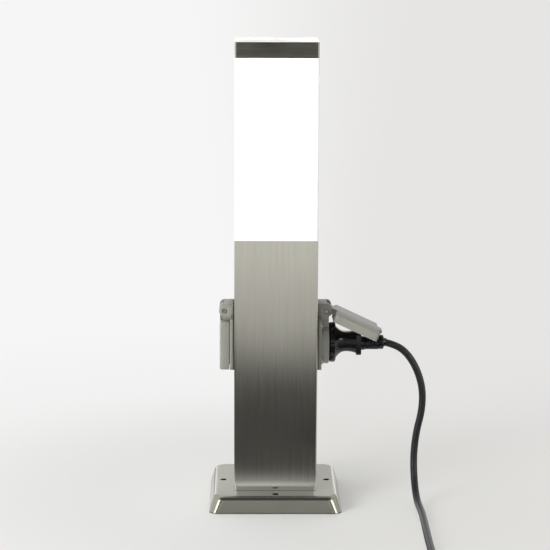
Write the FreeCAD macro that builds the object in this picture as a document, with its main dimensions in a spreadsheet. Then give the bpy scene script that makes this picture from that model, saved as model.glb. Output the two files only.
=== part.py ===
import FreeCAD, Part
import Sketcher
import math
import os
from FreeCAD import Vector

# Bollard light with two covered mains outlets.
# Millimetres, +Z up, origin on the ground under the middle of the post.
# The left outlet is shut; the right one holds a plug with its lead.

doc = FreeCAD.newDocument("bollard_light")


# Driving sizes.
# Each size is one cell of the sheet, and every piece is bound to these cells.
SIZES = {
    # how far a cut runs on past the solid, and the corner inside moulded squares
    "cut_past": 2.0,
    "inner_corner": 0.5,
    # foot: a pressed sheet pan with a flat plateau and a flared skirt
    "foot_width": 128.0,
    "foot_corner": 8.0,
    "foot_flare": 4.5,
    "plateau_corner": 11.0,
    "foot_rise": 16.0,
    "foot_sheet": 1.5,
    "foot_round": 5.0,
    "anchor_inset": 8.5,
    "anchor_hole": 6.0,
    "bush_outer": 12.0,
    # cable entry in the middle of the foot
    "grommet_seat": 22.0,
    "grommet_bore": 10.0,
    "grommet_lip": 2.0,
    "grommet_lip_width": 3.0,
    # post: square tube
    "post_side": 80.0,
    "post_wall": 1.5,
    "post_corner": 2.5,
    "post_length": 246.0,
    # light head
    "head_length": 173.0,
    "head_wall": 3.0,
    "spigot_length": 12.0,
    "spigot_gap": 0.3,
    "head_seal": 1.0,
    "lamp_plate_sheet": 1.5,
    "lamp_plate_rim": 8.0,
    "head_screw_radius": 2.0,
    "head_screw_up": 6.0,
    "head_screw_past": 1.0,
    # cap
    "cap_rise": 15.0,
    "cap_sheet": 1.2,
    "carrier_skirt": 8.0,
    "carrier_wall": 2.0,
    "carrier_gap": 0.3,
    "carrier_cap_gap": 0.1,
    # lamp holder and lamp
    "holder_foot_radius": 22.0,
    "holder_foot_rise": 4.0,
    "holder_radius": 19.0,
    "holder_rise": 46.0,
    "holder_bore": 13.6,
    "holder_floor": 14.0,
    "holder_waist": 2.0,
    "holder_edge": 1.5,
    "lamp_base_radius": 13.2,
    "lamp_tip_radius": 5.0,
    "lamp_tip_rise": 1.5,
    "lamp_shoulder": 5.0,
    "lamp_seat": 2.0,
    "lamp_neck": 6.0,
    "lamp_neck_radius": 14.5,
    "lamp_radius": 30.0,
    "lamp_centre": 88.0,
    "lamp_cone": 33.0,
    "lamp_wall": 1.0,
    # terminals on the back wall of the post
    "terminal_plate_width": 60.0,
    "terminal_plate_rise": 55.0,
    "terminal_plate_sheet": 1.5,
    "terminal_level": 70.0,
    "terminal_width": 52.0,
    "terminal_depth": 15.0,
    "terminal_rise": 22.0,
    "terminal_pitch": 10.0,
    "terminal_hole": 3.6,
    "terminal_corner": 1.0,
    # leads inside the post
    "lamp_lead": 6.0,
    "lamp_lead_gap": 1.0,
    "outlet_lead": 5.0,
    "lamp_lead_turn": 35.0,
    "lamp_lead_slant": 21.0,
    # outlets: measured from the post's face and from the outlet's axis
    "outlet_level": 155.6,
    "seal_thick": 1.2,
    "plate_thick": 3.2,
    "plate_side": 50.0,
    "plate_corner": 4.0,
    "plate_lift": 1.6,
    "collar_outer": 42.0,
    "collar_front": 12.0,
    "collar_bevel": 0.5,
    "well_bore": 39.0,
    "well_depth": 17.5,
    "post_hole_gap": 0.4,
    "outlet_screw_wide": 38.0,
    "outlet_screw_high": 35.0,
    "outlet_screw_radius": 1.6,
    "outlet_screw_head": 2.6,
    "outlet_screw_head_thick": 1.6,
    "outlet_screw_bevel": 0.5,
    "outlet_screw_length": 10.0,
    "screw_gap": 0.1,
    # hinge: the pin's place and the ears that hold it
    "pin_out": 9.4,
    "pin_up": 32.6,
    "pin_radius": 1.75,
    "pin_seat_gap": 0.02,
    "pin_run_gap": 0.07,
    "pin_proud": 0.1,
    "pin_sink_radius": 2.4,
    "pin_sink_depth": 0.5,
    "neck_step": 0.3,
    "ear_radius": 5.5,
    "ear_side": 5.2,
    "ear_thick": 4.0,
    "hood_width": 24.0,
    "hood_top": 40.4,
    "hood_front": 10.0,
    "hood_round": 4.6,
    "hood_roof": 2.0,
    # cover: shut position
    "cover_width": 50.0,
    "cover_back": 5.0,
    "cover_front": 14.1,
    "cover_bottom": 22.8,
    "cover_top": 24.2,
    "cover_corner": 3.0,
    "cover_bevel": 1.3,
    "cover_face": 1.3,
    "cover_wall": 1.6,
    "cover_end_wall": 1.3,
    "cover_inner_corner": 2.0,
    "knuckle_radius": 4.7,
    "knuckle_gap": 0.4,
    "web_thick": 3.9,
    "spring_slot": 8.0,
    "spring_slot_radius": 5.1,
    "grip_width": 18.0,
    "grip_reach": 3.0,
    "grip_thick": 2.6,
    "grip_corner": 2.2,
    "cover_seal_outer": 20.8,
    "cover_seal_inner": 18.8,
    # cover spring
    "spring_wire": 0.9,
    "spring_radius": 2.9,
    "spring_turns": 4,
    "spring_pitch": 1.3,
    "spring_leg": 3.3,
    # outlet insert with its contacts
    "insert_floor": 3.0,
    "insert_back": 28.0,
    "insert_half_width": 15.0,
    "insert_half_height": 12.0,
    "insert_corner": 3.0,
    "contact_pitch": 19.0,
    "contact_bore": 4.9,
    "contact_wall": 0.9,
    "contact_length": 20.0,
    "contact_gap": 0.1,
    "earth_width": 5.0,
    "earth_sheet": 0.8,
    "earth_reach": 13.0,
    "earth_bend": 1.6,
    "earth_gap": 0.3,
    # plug in the right outlet
    "plug_nose": 37.2,
    "plug_face_gap": 0.5,
    "plug_pin": 4.8,
    "plug_pin_length": 19.0,
    "plug_pin_flat": 0.4,
    "plug_flange": 39.4,
    "plug_flange_thick": 6.2,
    "plug_flange_gap": 0.3,
    "plug_flange_edge": 1.2,
    "plug_nose_edge": 1.0,
    "grip_root_half": 16.2,
    "grip_waist": 29.5,
    "grip_waist_half": 8.4,
    "grip_waist_top": 10.4,
    "grip_waist_half_wide": 11.7,
    "grip_end": 38.6,
    "grip_end_half": 11.0,
    "plug_block_half": 11.4,
    "plug_block_end": 43.6,
    "plug_block_corner": 3.5,
    "plug_block_round": 0.8,
    "relief_start": 7.1,
    "relief_radius": 6.1,
    "relief_drop": 1.2,
    "relief_taper_end": 49.0,
    "relief_end": 61.0,
    "relief_slots": 4,
    "relief_slot": 1.3,
    "relief_slot_first": 2.6,
    "relief_slot_pitch": 3.5,
    "relief_slot_half": 4.4,
    "relief_core": 4.0,
    "boot_radius": 7.0,
    "boot_end": 65.8,
    "boot_edge": 0.8,
    "exit_slope": 14.0,
    "exit_reach": 2.0,
    "exit_radius": 4.2,
    "exit_root": 2.0,
    "earth_groove": 6.4,
    "earth_groove_depth": 3.2,
    "earth_groove_corner": 0.5,
    "plug_earth_sheet": 0.5,
    "plug_earth_gap": 0.4,
    "plug_earth_short": 1.0,
    "plug_earth_corner": 0.2,
    "rest_gap": 0.1,
    # lead and its coil
    "lead_diameter": 7.0,
    "coil_start_radius": 47.5,
    "coil_pitch": 7.5,
    "coil_layer": 7.5,
    "coil_half_turns": 6,
    "tail_length": 36.0,
    "tie_thick": 1.0,
    "tie_width": 12.0,
    "tie_gap": 0.3,
    "tie_corner": 1.5,
    # connector at the lead's far end
    "connector_width": 28.0,
    "connector_rise": 24.0,
    "connector_length": 34.0,
    "connector_corner": 4.0,
    "connector_shoulder": 12.0,
    "connector_shoulder_high": 10.0,
    "connector_relief": 20.0,
    "connector_relief_radius": 5.6,
    "connector_relief_taper": 1.2,
    "connector_relief_root": 1.0,
    "connector_slot_wide": 2.4,
    "connector_slot_high": 5.0,
    "connector_slot_deep": 17.0,
    "connector_slot_corner": 0.4,
    "connector_slot_pitch": 7.0,
}

sheet = doc.addObject("Spreadsheet::Sheet", "sizes")
for row, (alias, number) in enumerate(SIZES.items(), start=1):
    sheet.set("A%d" % row, alias)
    sheet.set("B%d" % row, str(number))
    sheet.setAlias("B%d" % row, alias)
doc.recompute()


def bound(text):
    """Write an expression on size names as one on the sheet's cells."""
    words = []
    word = ""
    for letter in text + " ":
        if letter.isalnum() or letter == "_":
            word += letter
            continue
        words.append("sizes." + word if word in SIZES else word)
        words.append(letter)
        word = ""
    return "".join(words).strip()


def number(text):
    """Work out an expression on size names as a plain number."""
    return float(sheet.evalExpression(bound(text)))


# Steps that the pieces share.

def new_body(label):
    body = doc.addObject("PartDesign::Body", label)
    body.Label = label
    return body


def origin_part(body, role):
    return next(part for part in body.Origin.OriginFeatures if part.Role == role)


def new_sketch(body, role, offset="0"):
    """A sketch on one of the body's own origin planes, moved along its normal."""
    sketch = body.newObject("Sketcher::SketchObject", body.Label + "_sketch")
    sketch.AttachmentSupport = (origin_part(body, role), [""])
    sketch.MapMode = "FlatFace"
    sketch.setExpression("AttachmentOffset.Base.z", bound(offset))
    return sketch


def constrain(sketch, kind, *references, size):
    index = sketch.addConstraint(Sketcher.Constraint(kind, *references, number(size)))
    sketch.setExpression("Constraints[%d]" % index, bound(size))


def place_point(sketch, piece, end, across, up):
    """Hold one point of the sketch at a distance from the sketch's origin."""
    if across is not None:
        constrain(sketch, "DistanceX", -1, 1, piece, end, size=across)
    if up is not None:
        constrain(sketch, "DistanceY", -1, 1, piece, end, size=up)


def add_circle(sketch, across, up, radius):
    centre = Vector(number(across), number(up), 0)
    circle = Part.Circle(centre, Vector(0, 0, 1), number(radius))
    piece = sketch.addGeometry(circle, False)
    place_point(sketch, piece, 3, across, up)
    constrain(sketch, "Radius", piece, size=radius)


def add_rounded_rectangle(sketch, left, right, bottom, top, radius):
    x0, x1, y0, y1 = number(left), number(right), number(bottom), number(top)
    r = number(radius)
    quarter = math.pi / 2

    def line(ax, ay, bx, by):
        return sketch.addGeometry(Part.LineSegment(Vector(ax, ay, 0), Vector(bx, by, 0)), False)

    def arc(cx, cy, first):
        circle = Part.Circle(Vector(cx, cy, 0), Vector(0, 0, 1), r)
        return sketch.addGeometry(Part.ArcOfCircle(circle, first, first + quarter), False)

    low = line(x0 + r, y0, x1 - r, y0)
    low_right = arc(x1 - r, y0 + r, -quarter)
    side_right = line(x1, y0 + r, x1, y1 - r)
    high_right = arc(x1 - r, y1 - r, 0)
    high = line(x1 - r, y1, x0 + r, y1)
    high_left = arc(x0 + r, y1 - r, quarter)
    side_left = line(x0, y1 - r, x0, y0 + r)
    low_left = arc(x0 + r, y0 + r, 2 * quarter)
    loop = [low, low_right, side_right, high_right, high, high_left, side_left, low_left]
    for this, following in zip(loop, loop[1:] + loop[:1]):
        sketch.addConstraint(Sketcher.Constraint("Tangent", this, 2, following, 1))
    for piece in (low, high):
        sketch.addConstraint(Sketcher.Constraint("Horizontal", piece))
    for piece in (side_right, side_left):
        sketch.addConstraint(Sketcher.Constraint("Vertical", piece))
    for piece in (high_right, high_left, low_left):
        sketch.addConstraint(Sketcher.Constraint("Equal", low_right, piece))
    constrain(sketch, "Radius", low_right, size=radius)
    place_point(sketch, low, 1, None, bottom)
    place_point(sketch, side_right, 1, right, None)
    place_point(sketch, high, 1, None, top)
    place_point(sketch, side_left, 1, left, None)


def add_square(sketch, side, radius):
    half = "(%s) / 2" % side
    add_rounded_rectangle(sketch, "-" + half, half, "-" + half, half, radius)


def add_outline(sketch, start, *steps):
    """A closed outline. A step is (x, y) for a line to that point, or
    (x, y, turn, centre x, centre y) for an arc, with turn 1 left and -1 right.
    The last line back to the start is added here."""
    here = Vector(number(start[0]), number(start[1]), 0)
    begin = here
    last = None
    first = None
    for step in list(steps) + [start]:
        there = Vector(number(step[0]), number(step[1]), 0)
        closing = step is start
        if len(step) == 2:
            piece = sketch.addGeometry(Part.LineSegment(here, there), False)
            near, far = 1, 2
        else:
            centre = Vector(number(step[3]), number(step[4]), 0)
            radius = (here - centre).Length
            angles = [math.atan2(p.y - centre.y, p.x - centre.x) for p in (here, there)]
            near, far = (1, 2) if step[2] == 1 else (2, 1)
            if step[2] == -1:
                angles.reverse()
            if angles[1] <= angles[0]:
                angles[1] += 2 * math.pi
            circle = Part.Circle(centre, Vector(0, 0, 1), radius)
            piece = sketch.addGeometry(Part.ArcOfCircle(circle, angles[0], angles[1]), False)
        if last is None:
            first = (piece, near)
            place_point(sketch, piece, near, start[0], start[1])
        else:
            sketch.addConstraint(Sketcher.Constraint("Coincident", last[0], last[1], piece, near))
        if closing:
            sketch.addConstraint(Sketcher.Constraint("Coincident", piece, far, first[0], first[1]))
        elif len(step) == 2:
            place_point(sketch, piece, far, step[0], step[1])
        else:
            place_point(sketch, piece, 3, step[3], step[4])
            steep = abs(there.y - centre.y) > abs(there.x - centre.x)
            place_point(sketch, piece, far, step[0] if steep else None, None if steep else step[1])
        last = (piece, far)
        here = there
    assert (here - begin).Length < 1e-9


def add_feature(body, kind, sketch, name):
    feature = body.newObject("PartDesign::" + kind, body.Label + "_" + name)
    feature.Profile = sketch
    sketch.Visibility = False
    return feature


def pad(body, sketch, length, both_ways=False, backward=False):
    feature = add_feature(body, "Pad", sketch, "pad")
    feature.setExpression("Length", bound(length))
    feature.SideType = "Symmetric" if both_ways else "One side"
    feature.Reversed = backward
    body.Tip = feature
    return feature


def pocket(body, sketch, length=None, both_ways=False, forward=False):
    """Cut along the sketch's normal, by default against it, and test that it cut."""
    doc.recompute()
    before = body.Shape.Volume
    feature = add_feature(body, "Pocket", sketch, "pocket")
    if length is None:
        feature.Type = "ThroughAll"
    else:
        feature.setExpression("Length", bound(length))
    feature.SideType = "Symmetric" if both_ways else "One side"
    feature.Reversed = forward
    body.Tip = feature
    doc.recompute()
    if not body.Shape.Volume < before - 1e-3:
        raise ValueError("a pocket of %s cut nothing" % body.Label)
    return feature


def revolve(body, sketch, role):
    feature = add_feature(body, "Revolution", sketch, "revolution")
    feature.ReferenceAxis = (origin_part(body, role), [""])
    feature.Angle = 360
    body.Tip = feature
    return feature


def loft(body, sections, cut=False, smooth=False):
    kind = "SubtractiveLoft" if cut else "AdditiveLoft"
    feature = add_feature(body, kind, sections[0], "loft")
    feature.Sections = sections[1:]
    feature.Ruled = not smooth
    body.Tip = feature
    return feature


def soften(body, kind, size, chosen):
    """Round or bevel the edges of the body's last feature that chosen picks."""
    doc.recompute()
    base = body.Tip
    names = ["Edge%d" % (index + 1) for index, edge in enumerate(base.Shape.Edges) if chosen(edge)]
    feature = body.newObject("PartDesign::" + kind, body.Label + "_" + kind.lower())
    feature.Base = (base, names)
    feature.setExpression("Radius" if kind == "Fillet" else "Size", bound(size))
    body.Tip = feature
    return feature


def place(body, across="0", up="0", turned=False):
    """Stand a piece at the post's side: turned means the left side."""
    body.Placement = FreeCAD.Placement(Vector(), FreeCAD.Rotation(Vector(0, 0, 1), 180 if turned else 0))
    body.setExpression("Placement.Base.x", bound(("-" if turned else "") + "(%s)" % across))
    body.setExpression("Placement.Base.z", bound(up))


# Foot: pressed pan. Its skirt is lofted from the ground outline to the plateau,
# and the plateau's edge is rounded by further outlines along an arc.
foot = new_body("foot_flange")
PLATEAU_HALF = "(foot_width / 2 - foot_flare)"
LEAN = "atan(foot_flare / foot_rise)"
ROUND_MIDDLE = "(%s - foot_round * tan((90 deg - %s) / 2))" % (PLATEAU_HALF, LEAN)


def foot_level(angle):
    """Height of the rounded edge where its arc stands at the angle."""
    return "(foot_rise - foot_round + foot_round * sin(%s))" % angle


def add_foot_outline(sketch, angle):
    """Outline of the pan on the rounded edge; the corner follows the skirt's."""
    height = foot_level(angle)
    half = "(%s + foot_round * cos(%s))" % (ROUND_MIDDLE, angle)
    skirt_half = "(foot_width / 2 - foot_flare * %s / foot_rise)" % height
    skirt_corner = "foot_corner + (plateau_corner - foot_corner) * %s / foot_rise" % height
    add_square(sketch, "2 * " + half, "%s - (%s - %s)" % (skirt_corner, skirt_half, half))


skirt_foot = new_sketch(foot, "XY_Plane")
add_square(skirt_foot, "foot_width", "foot_corner")
rounding = []
for part in (0, 1, 2, 3):
    angle = "(%s + (90 deg - %s) * %d / 3)" % (LEAN, LEAN, part)
    rounding.append(new_sketch(foot, "XY_Plane", foot_level(angle)))
    add_foot_outline(rounding[-1], angle)
loft(foot, [skirt_foot, rounding[0]])
loft(foot, rounding, smooth=True)
hollow_foot = new_sketch(foot, "XY_Plane")
add_square(hollow_foot, "foot_width - 2 * foot_sheet", "foot_corner - foot_sheet")
hollow_head = new_sketch(foot, "XY_Plane", "foot_rise - foot_sheet")
add_square(hollow_head, "2 * %s - 2 * foot_sheet" % PLATEAU_HALF, "plateau_corner - foot_sheet")
loft(foot, [hollow_foot, hollow_head], cut=True)
foot_holes = new_sketch(foot, "XY_Plane", "foot_rise")
ANCHOR_OUT = "(%s - anchor_inset)" % PLATEAU_HALF
ANCHORS = [(ANCHOR_OUT, "0"), ("-" + ANCHOR_OUT, "0"), ("0", ANCHOR_OUT), ("0", "-" + ANCHOR_OUT)]
for across, up in ANCHORS:
    add_circle(foot_holes, across, up, "anchor_hole / 2")
add_circle(foot_holes, "0", "0", "grommet_seat / 2")
pocket(foot, foot_holes)

# Spacer bushes: they carry the four ground screws, so the pan isn't crushed.
bushes = new_body("anchor_bushes")
bush_rings = new_sketch(bushes, "XY_Plane")
for across, up in ANCHORS:
    add_circle(bush_rings, across, up, "bush_outer / 2")
    add_circle(bush_rings, across, up, "anchor_hole / 2")
pad(bushes, bush_rings, "foot_rise - foot_sheet")

# Rubber grommet in the plateau: the ground cable comes up through it.
grommet = new_body("cable_grommet")
grommet_half = new_sketch(grommet, "XZ_Plane")
GROMMET_LIP = "grommet_seat / 2 + grommet_lip_width"
FOOT_UNDER = "foot_rise - foot_sheet"
add_outline(grommet_half,
            ("grommet_bore / 2", FOOT_UNDER + " - grommet_lip"),
            (GROMMET_LIP, FOOT_UNDER + " - grommet_lip"),
            (GROMMET_LIP, FOOT_UNDER),
            ("grommet_seat / 2", FOOT_UNDER),
            ("grommet_seat / 2", "foot_rise"),
            (GROMMET_LIP, "foot_rise"),
            (GROMMET_LIP, "foot_rise + grommet_lip"),
            ("grommet_bore / 2", "foot_rise + grommet_lip"))
revolve(grommet, grommet_half, "Z_Axis")

# Post: square tube with an outlet hole and four screw holes in each side.
POST_TOP = "foot_rise + post_length"
WELL_HOLE = "collar_outer / 2 + post_hole_gap"
PLATE_MIDDLE = "outlet_level + plate_lift"
post = new_body("post_tube")
post_section = new_sketch(post, "XY_Plane", "foot_rise")
add_square(post_section, "post_side", "post_corner")
add_square(post_section, "post_side - 2 * post_wall", "post_corner - post_wall")
pad(post, post_section, "post_length")
post_holes = new_sketch(post, "YZ_Plane")
add_circle(post_holes, "0", "outlet_level", WELL_HOLE)
for way in ("", "-"):
    for rise in ("+", "-"):
        add_circle(post_holes, way + "outlet_screw_wide / 2",
                   PLATE_MIDDLE + " %s outlet_screw_high / 2" % rise,
                   "outlet_screw_radius + screw_gap")
add_circle(post_holes, "0", POST_TOP + " - head_screw_up", "head_screw_radius + screw_gap")
pocket(post, post_holes, "post_side + cut_past", both_ways=True)

# Terminal plate and block on the inside of the back wall.
TERMINAL_BACK = "post_side / 2 - post_wall"
TERMINAL_FACE = TERMINAL_BACK + " - terminal_plate_sheet"
BLOCK_BOTTOM = "terminal_level + (terminal_plate_rise - terminal_rise) / 2"
terminal_plate = new_body("terminal_plate")
plate_outline = new_sketch(terminal_plate, "XZ_Plane", "-(%s)" % TERMINAL_BACK)
add_rounded_rectangle(plate_outline, "-terminal_plate_width / 2", "terminal_plate_width / 2",
                      "terminal_level", "terminal_level + terminal_plate_rise", "plate_corner")
pad(terminal_plate, plate_outline, "terminal_plate_sheet")

terminal_block = new_body("terminal_block")
block_outline = new_sketch(terminal_block, "XY_Plane", BLOCK_BOTTOM)
add_rounded_rectangle(block_outline, "-terminal_width / 2", "terminal_width / 2",
                      TERMINAL_FACE + " - terminal_depth", TERMINAL_FACE, "terminal_corner")
pad(terminal_block, block_outline, "terminal_rise")
# Only the screw wells are open: the wire ways are full of wire.
screw_wells = new_sketch(terminal_block, "XZ_Plane", "-(%s - terminal_depth)" % TERMINAL_FACE)
for pole in range(-2, 3):
    for level in ("terminal_rise / 4", "terminal_rise * 3 / 4"):
        add_circle(screw_wells, "%d * terminal_pitch" % pole, BLOCK_BOTTOM + " + " + level,
                   "terminal_hole / 2")
pocket(terminal_block, screw_wells, "terminal_depth / 2")

# Lamp plate: a shallow tray inside the post's mouth, which carries the holder.
LAMP_LEVEL = POST_TOP + " - spigot_length - head_seal"
POST_INSIDE = "post_side - 2 * post_wall"
lamp_plate = new_body("lamp_plate")
tray_outer = new_sketch(lamp_plate, "XY_Plane", LAMP_LEVEL)
add_square(tray_outer, POST_INSIDE, "post_corner - post_wall")
pad(lamp_plate, tray_outer, "lamp_plate_rim", backward=True)
tray_inner = new_sketch(lamp_plate, "XY_Plane", LAMP_LEVEL + " - lamp_plate_rim")
add_square(tray_inner, POST_INSIDE + " - 2 * lamp_plate_sheet", "inner_corner")
pocket(lamp_plate, tray_inner, "lamp_plate_rim - lamp_plate_sheet", forward=True)
tray_hole = new_sketch(lamp_plate, "XY_Plane", LAMP_LEVEL)
add_circle(tray_hole, "0", "0", "lamp_lead / 2 + lamp_lead_gap")
pocket(lamp_plate, tray_hole)

# Seal under the diffuser's spigot.
SPIGOT = POST_INSIDE + " - 2 * spigot_gap"
HEAD_INSIDE = "post_side - 2 * head_wall"
head_seal = new_body("diffuser_seal")
seal_ring = new_sketch(head_seal, "XY_Plane", LAMP_LEVEL)
add_square(seal_ring, SPIGOT, "post_corner - post_wall")
add_square(seal_ring, HEAD_INSIDE, "inner_corner")
pad(head_seal, seal_ring, "head_seal")

# Diffuser: opal square tube with a spigot that stands in the post.
diffuser = new_body("diffuser")
head_outer = new_sketch(diffuser, "XY_Plane", POST_TOP)
add_square(head_outer, "post_side", "post_corner")
pad(diffuser, head_outer, "head_length")
spigot_outer = new_sketch(diffuser, "XY_Plane", POST_TOP)
add_square(spigot_outer, SPIGOT, "post_corner - post_wall")
pad(diffuser, spigot_outer, "spigot_length", backward=True)
head_inner = new_sketch(diffuser, "XY_Plane", POST_TOP + " + head_length")
add_square(head_inner, HEAD_INSIDE, "inner_corner")
pocket(diffuser, head_inner)
spigot_holes = new_sketch(diffuser, "YZ_Plane")
add_circle(spigot_holes, "0", POST_TOP + " - head_screw_up", "head_screw_radius + screw_gap")
pocket(diffuser, spigot_holes, "post_side + cut_past", both_ways=True)

# Two screws hold the spigot through the post's sides, heads sunk flush.
head_screws = new_body("diffuser_screws")
for way, backward in (("", True), ("-", False)):
    screw = new_sketch(head_screws, "YZ_Plane", way + "post_side / 2")
    add_circle(screw, "0", POST_TOP + " - head_screw_up", "head_screw_radius")
    pad(head_screws, screw, "head_wall + head_screw_past", backward=backward)

# Carrier: moulded plug in the diffuser's mouth, under the metal cap.
HEAD_TOP = POST_TOP + " + head_length"
CAP_INSIDE = "post_side - 2 * cap_sheet"
carrier = new_body("cap_carrier")
carrier_top = new_sketch(carrier, "XY_Plane", HEAD_TOP)
add_square(carrier_top, CAP_INSIDE + " - 2 * carrier_cap_gap", "post_corner - cap_sheet")
pad(carrier, carrier_top, "cap_rise - cap_sheet")
carrier_skirt = new_sketch(carrier, "XY_Plane", HEAD_TOP)
add_square(carrier_skirt, HEAD_INSIDE + " - 2 * carrier_gap", "inner_corner")
pad(carrier, carrier_skirt, "carrier_skirt", backward=True)
carrier_hollow = new_sketch(carrier, "XY_Plane", HEAD_TOP + " - carrier_skirt")
add_square(carrier_hollow, HEAD_INSIDE + " - 2 * carrier_gap - 2 * carrier_wall", "inner_corner")
pocket(carrier, carrier_hollow, "carrier_skirt + cap_rise / 2", forward=True)

# Cap: folded stainless cover.
cap = new_body("top_cap")
cap_outer = new_sketch(cap, "XY_Plane", HEAD_TOP)
add_square(cap_outer, "post_side", "post_corner")
pad(cap, cap_outer, "cap_rise")
soften(cap, "Fillet", "cap_sheet / 2",
       lambda edge: abs(edge.BoundBox.ZMin - number(HEAD_TOP + " + cap_rise")) < 1e-6)
cap_inner = new_sketch(cap, "XY_Plane", HEAD_TOP)
add_square(cap_inner, CAP_INSIDE, "post_corner - cap_sheet")
pocket(cap, cap_inner, "cap_rise - cap_sheet", forward=True)

# Lamp holder: turned cup on the lamp plate.
holder = new_body("lamp_holder")
holder_half = new_sketch(holder, "XZ_Plane")
add_outline(holder_half,
            ("0", "0"),
            ("holder_foot_radius", "0"),
            ("holder_foot_radius", "holder_foot_rise"),
            ("holder_radius - holder_waist", "holder_foot_rise + holder_edge"),
            ("holder_radius - holder_waist", "holder_rise / 2 - holder_waist"),
            ("holder_radius", "holder_rise / 2"),
            ("holder_radius", "holder_rise - holder_edge"),
            ("holder_radius - holder_edge", "holder_rise"),
            ("holder_bore", "holder_rise"),
            ("holder_bore", "holder_floor"),
            ("0", "holder_floor"))
revolve(holder, holder_half, "Z_Axis")
place(holder, up=LAMP_LEVEL)

# Lamp: screw base with its contact tip, and the pear-shaped bulb on top.
LAMP_JOINT = "holder_rise - lamp_seat"
LAMP_SHOULDER = "holder_floor + lamp_shoulder"
lamp_base = new_body("lamp_base")
base_half = new_sketch(lamp_base, "XZ_Plane")
add_outline(base_half,
            ("0", "holder_floor"),
            ("lamp_tip_radius", "holder_floor"),
            ("lamp_tip_radius", "holder_floor + lamp_tip_rise"),
            ("lamp_base_radius", LAMP_SHOULDER),
            ("lamp_base_radius", LAMP_JOINT),
            ("lamp_base_radius - lamp_wall", LAMP_JOINT),
            ("lamp_base_radius - lamp_wall", LAMP_SHOULDER + " + lamp_wall"),
            ("0", LAMP_SHOULDER + " + lamp_wall"))
revolve(lamp_base, base_half, "Z_Axis")
place(lamp_base, up=LAMP_LEVEL)

bulb = new_body("lamp_bulb")
bulb_half = new_sketch(bulb, "XZ_Plane")
INNER_LAMP = "(lamp_radius - lamp_wall)"
add_outline(bulb_half,
            ("lamp_base_radius - lamp_wall", LAMP_JOINT),
            ("lamp_base_radius", LAMP_JOINT),
            ("lamp_base_radius", "holder_rise + lamp_seat"),
            ("lamp_neck_radius", "holder_rise + lamp_neck"),
            ("lamp_radius * cos(lamp_cone)", "lamp_centre - lamp_radius * sin(lamp_cone)"),
            ("0", "lamp_centre + lamp_radius", 1, "0", "lamp_centre"),
            ("0", "lamp_centre + " + INNER_LAMP),
            (INNER_LAMP + " * cos(lamp_cone)", "lamp_centre - " + INNER_LAMP + " * sin(lamp_cone)",
             -1, "0", "lamp_centre"),
            ("lamp_neck_radius - lamp_wall", "holder_rise + lamp_neck"),
            ("lamp_base_radius - lamp_wall", "holder_rise + lamp_seat"))
revolve(bulb, bulb_half, "Z_Axis")
place(bulb, up=LAMP_LEVEL)


# Outlets.
# Each piece is drawn once beside the origin: x out of the post's face, z up
# from the outlet's axis. It is then stood at the right or the left side.
PLATE_FRONT = "seal_thick + plate_thick"
PLATE_LOW = "plate_lift - plate_side / 2"
PLATE_HIGH = "plate_lift + plate_side / 2"
WELL_FLOOR = "collar_front - well_depth"
EAR_LOW = "pin_up - ear_radius"
# where the hood's straight side meets the round of the ear
EAR_TURN = "pin_up + sqrt(ear_radius * ear_radius - ear_side * ear_side)"
HOOD_SIDE = "pin_out + ear_side"
EAR_MIDDLE = "(hood_width / 2 - ear_thick / 2)"
# the ears' necks start inside the collar's wall and stop short of its rim
NECK_LOW = "sqrt(well_bore * well_bore / 4 - hood_width * hood_width / 4)"
NECK_FRONT = "collar_front - neck_step"


def add_hood_outline(sketch, back):
    """Side view of the hinge housing, from the plate up and out to the ears."""
    add_outline(sketch,
                (back, PLATE_HIGH + " - plate_corner"),
                (PLATE_FRONT, PLATE_HIGH + " - plate_corner"),
                (PLATE_FRONT, EAR_LOW),
                ("pin_out", EAR_LOW),
                (HOOD_SIDE, EAR_TURN, 1, "pin_out", "pin_up"),
                (HOOD_SIDE, "hood_top - hood_round"),
                (HOOD_SIDE + " - hood_round", "hood_top", 1,
                 HOOD_SIDE + " - hood_round", "hood_top - hood_round"),
                (back, "hood_top"))


def screw_places():
    for way in ("", "-"):
        for rise in ("+", "-"):
            yield way + "outlet_screw_wide / 2", "plate_lift %s outlet_screw_high / 2" % rise


def make_outlet_seal(label):
    """Dark foam seal between plate and post, cut to the plate and the hood."""
    seal = new_body(label)
    outline = new_sketch(seal, "YZ_Plane")
    add_rounded_rectangle(outline, "-plate_side / 2", "plate_side / 2",
                          PLATE_LOW, PLATE_HIGH, "plate_corner")
    pad(seal, outline, "seal_thick")
    tongue = new_sketch(seal, "YZ_Plane")
    add_rounded_rectangle(tongue, "-hood_width / 2", "hood_width / 2",
                          PLATE_HIGH + " - plate_corner", "hood_top", "inner_corner")
    pad(seal, tongue, "seal_thick")
    holes = new_sketch(seal, "YZ_Plane")
    add_circle(holes, "0", "0", WELL_HOLE)
    for across, up in screw_places():
        add_circle(holes, across, up, "outlet_screw_radius + screw_gap")
    pocket(seal, holes, "seal_thick", forward=True)
    return seal


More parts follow.
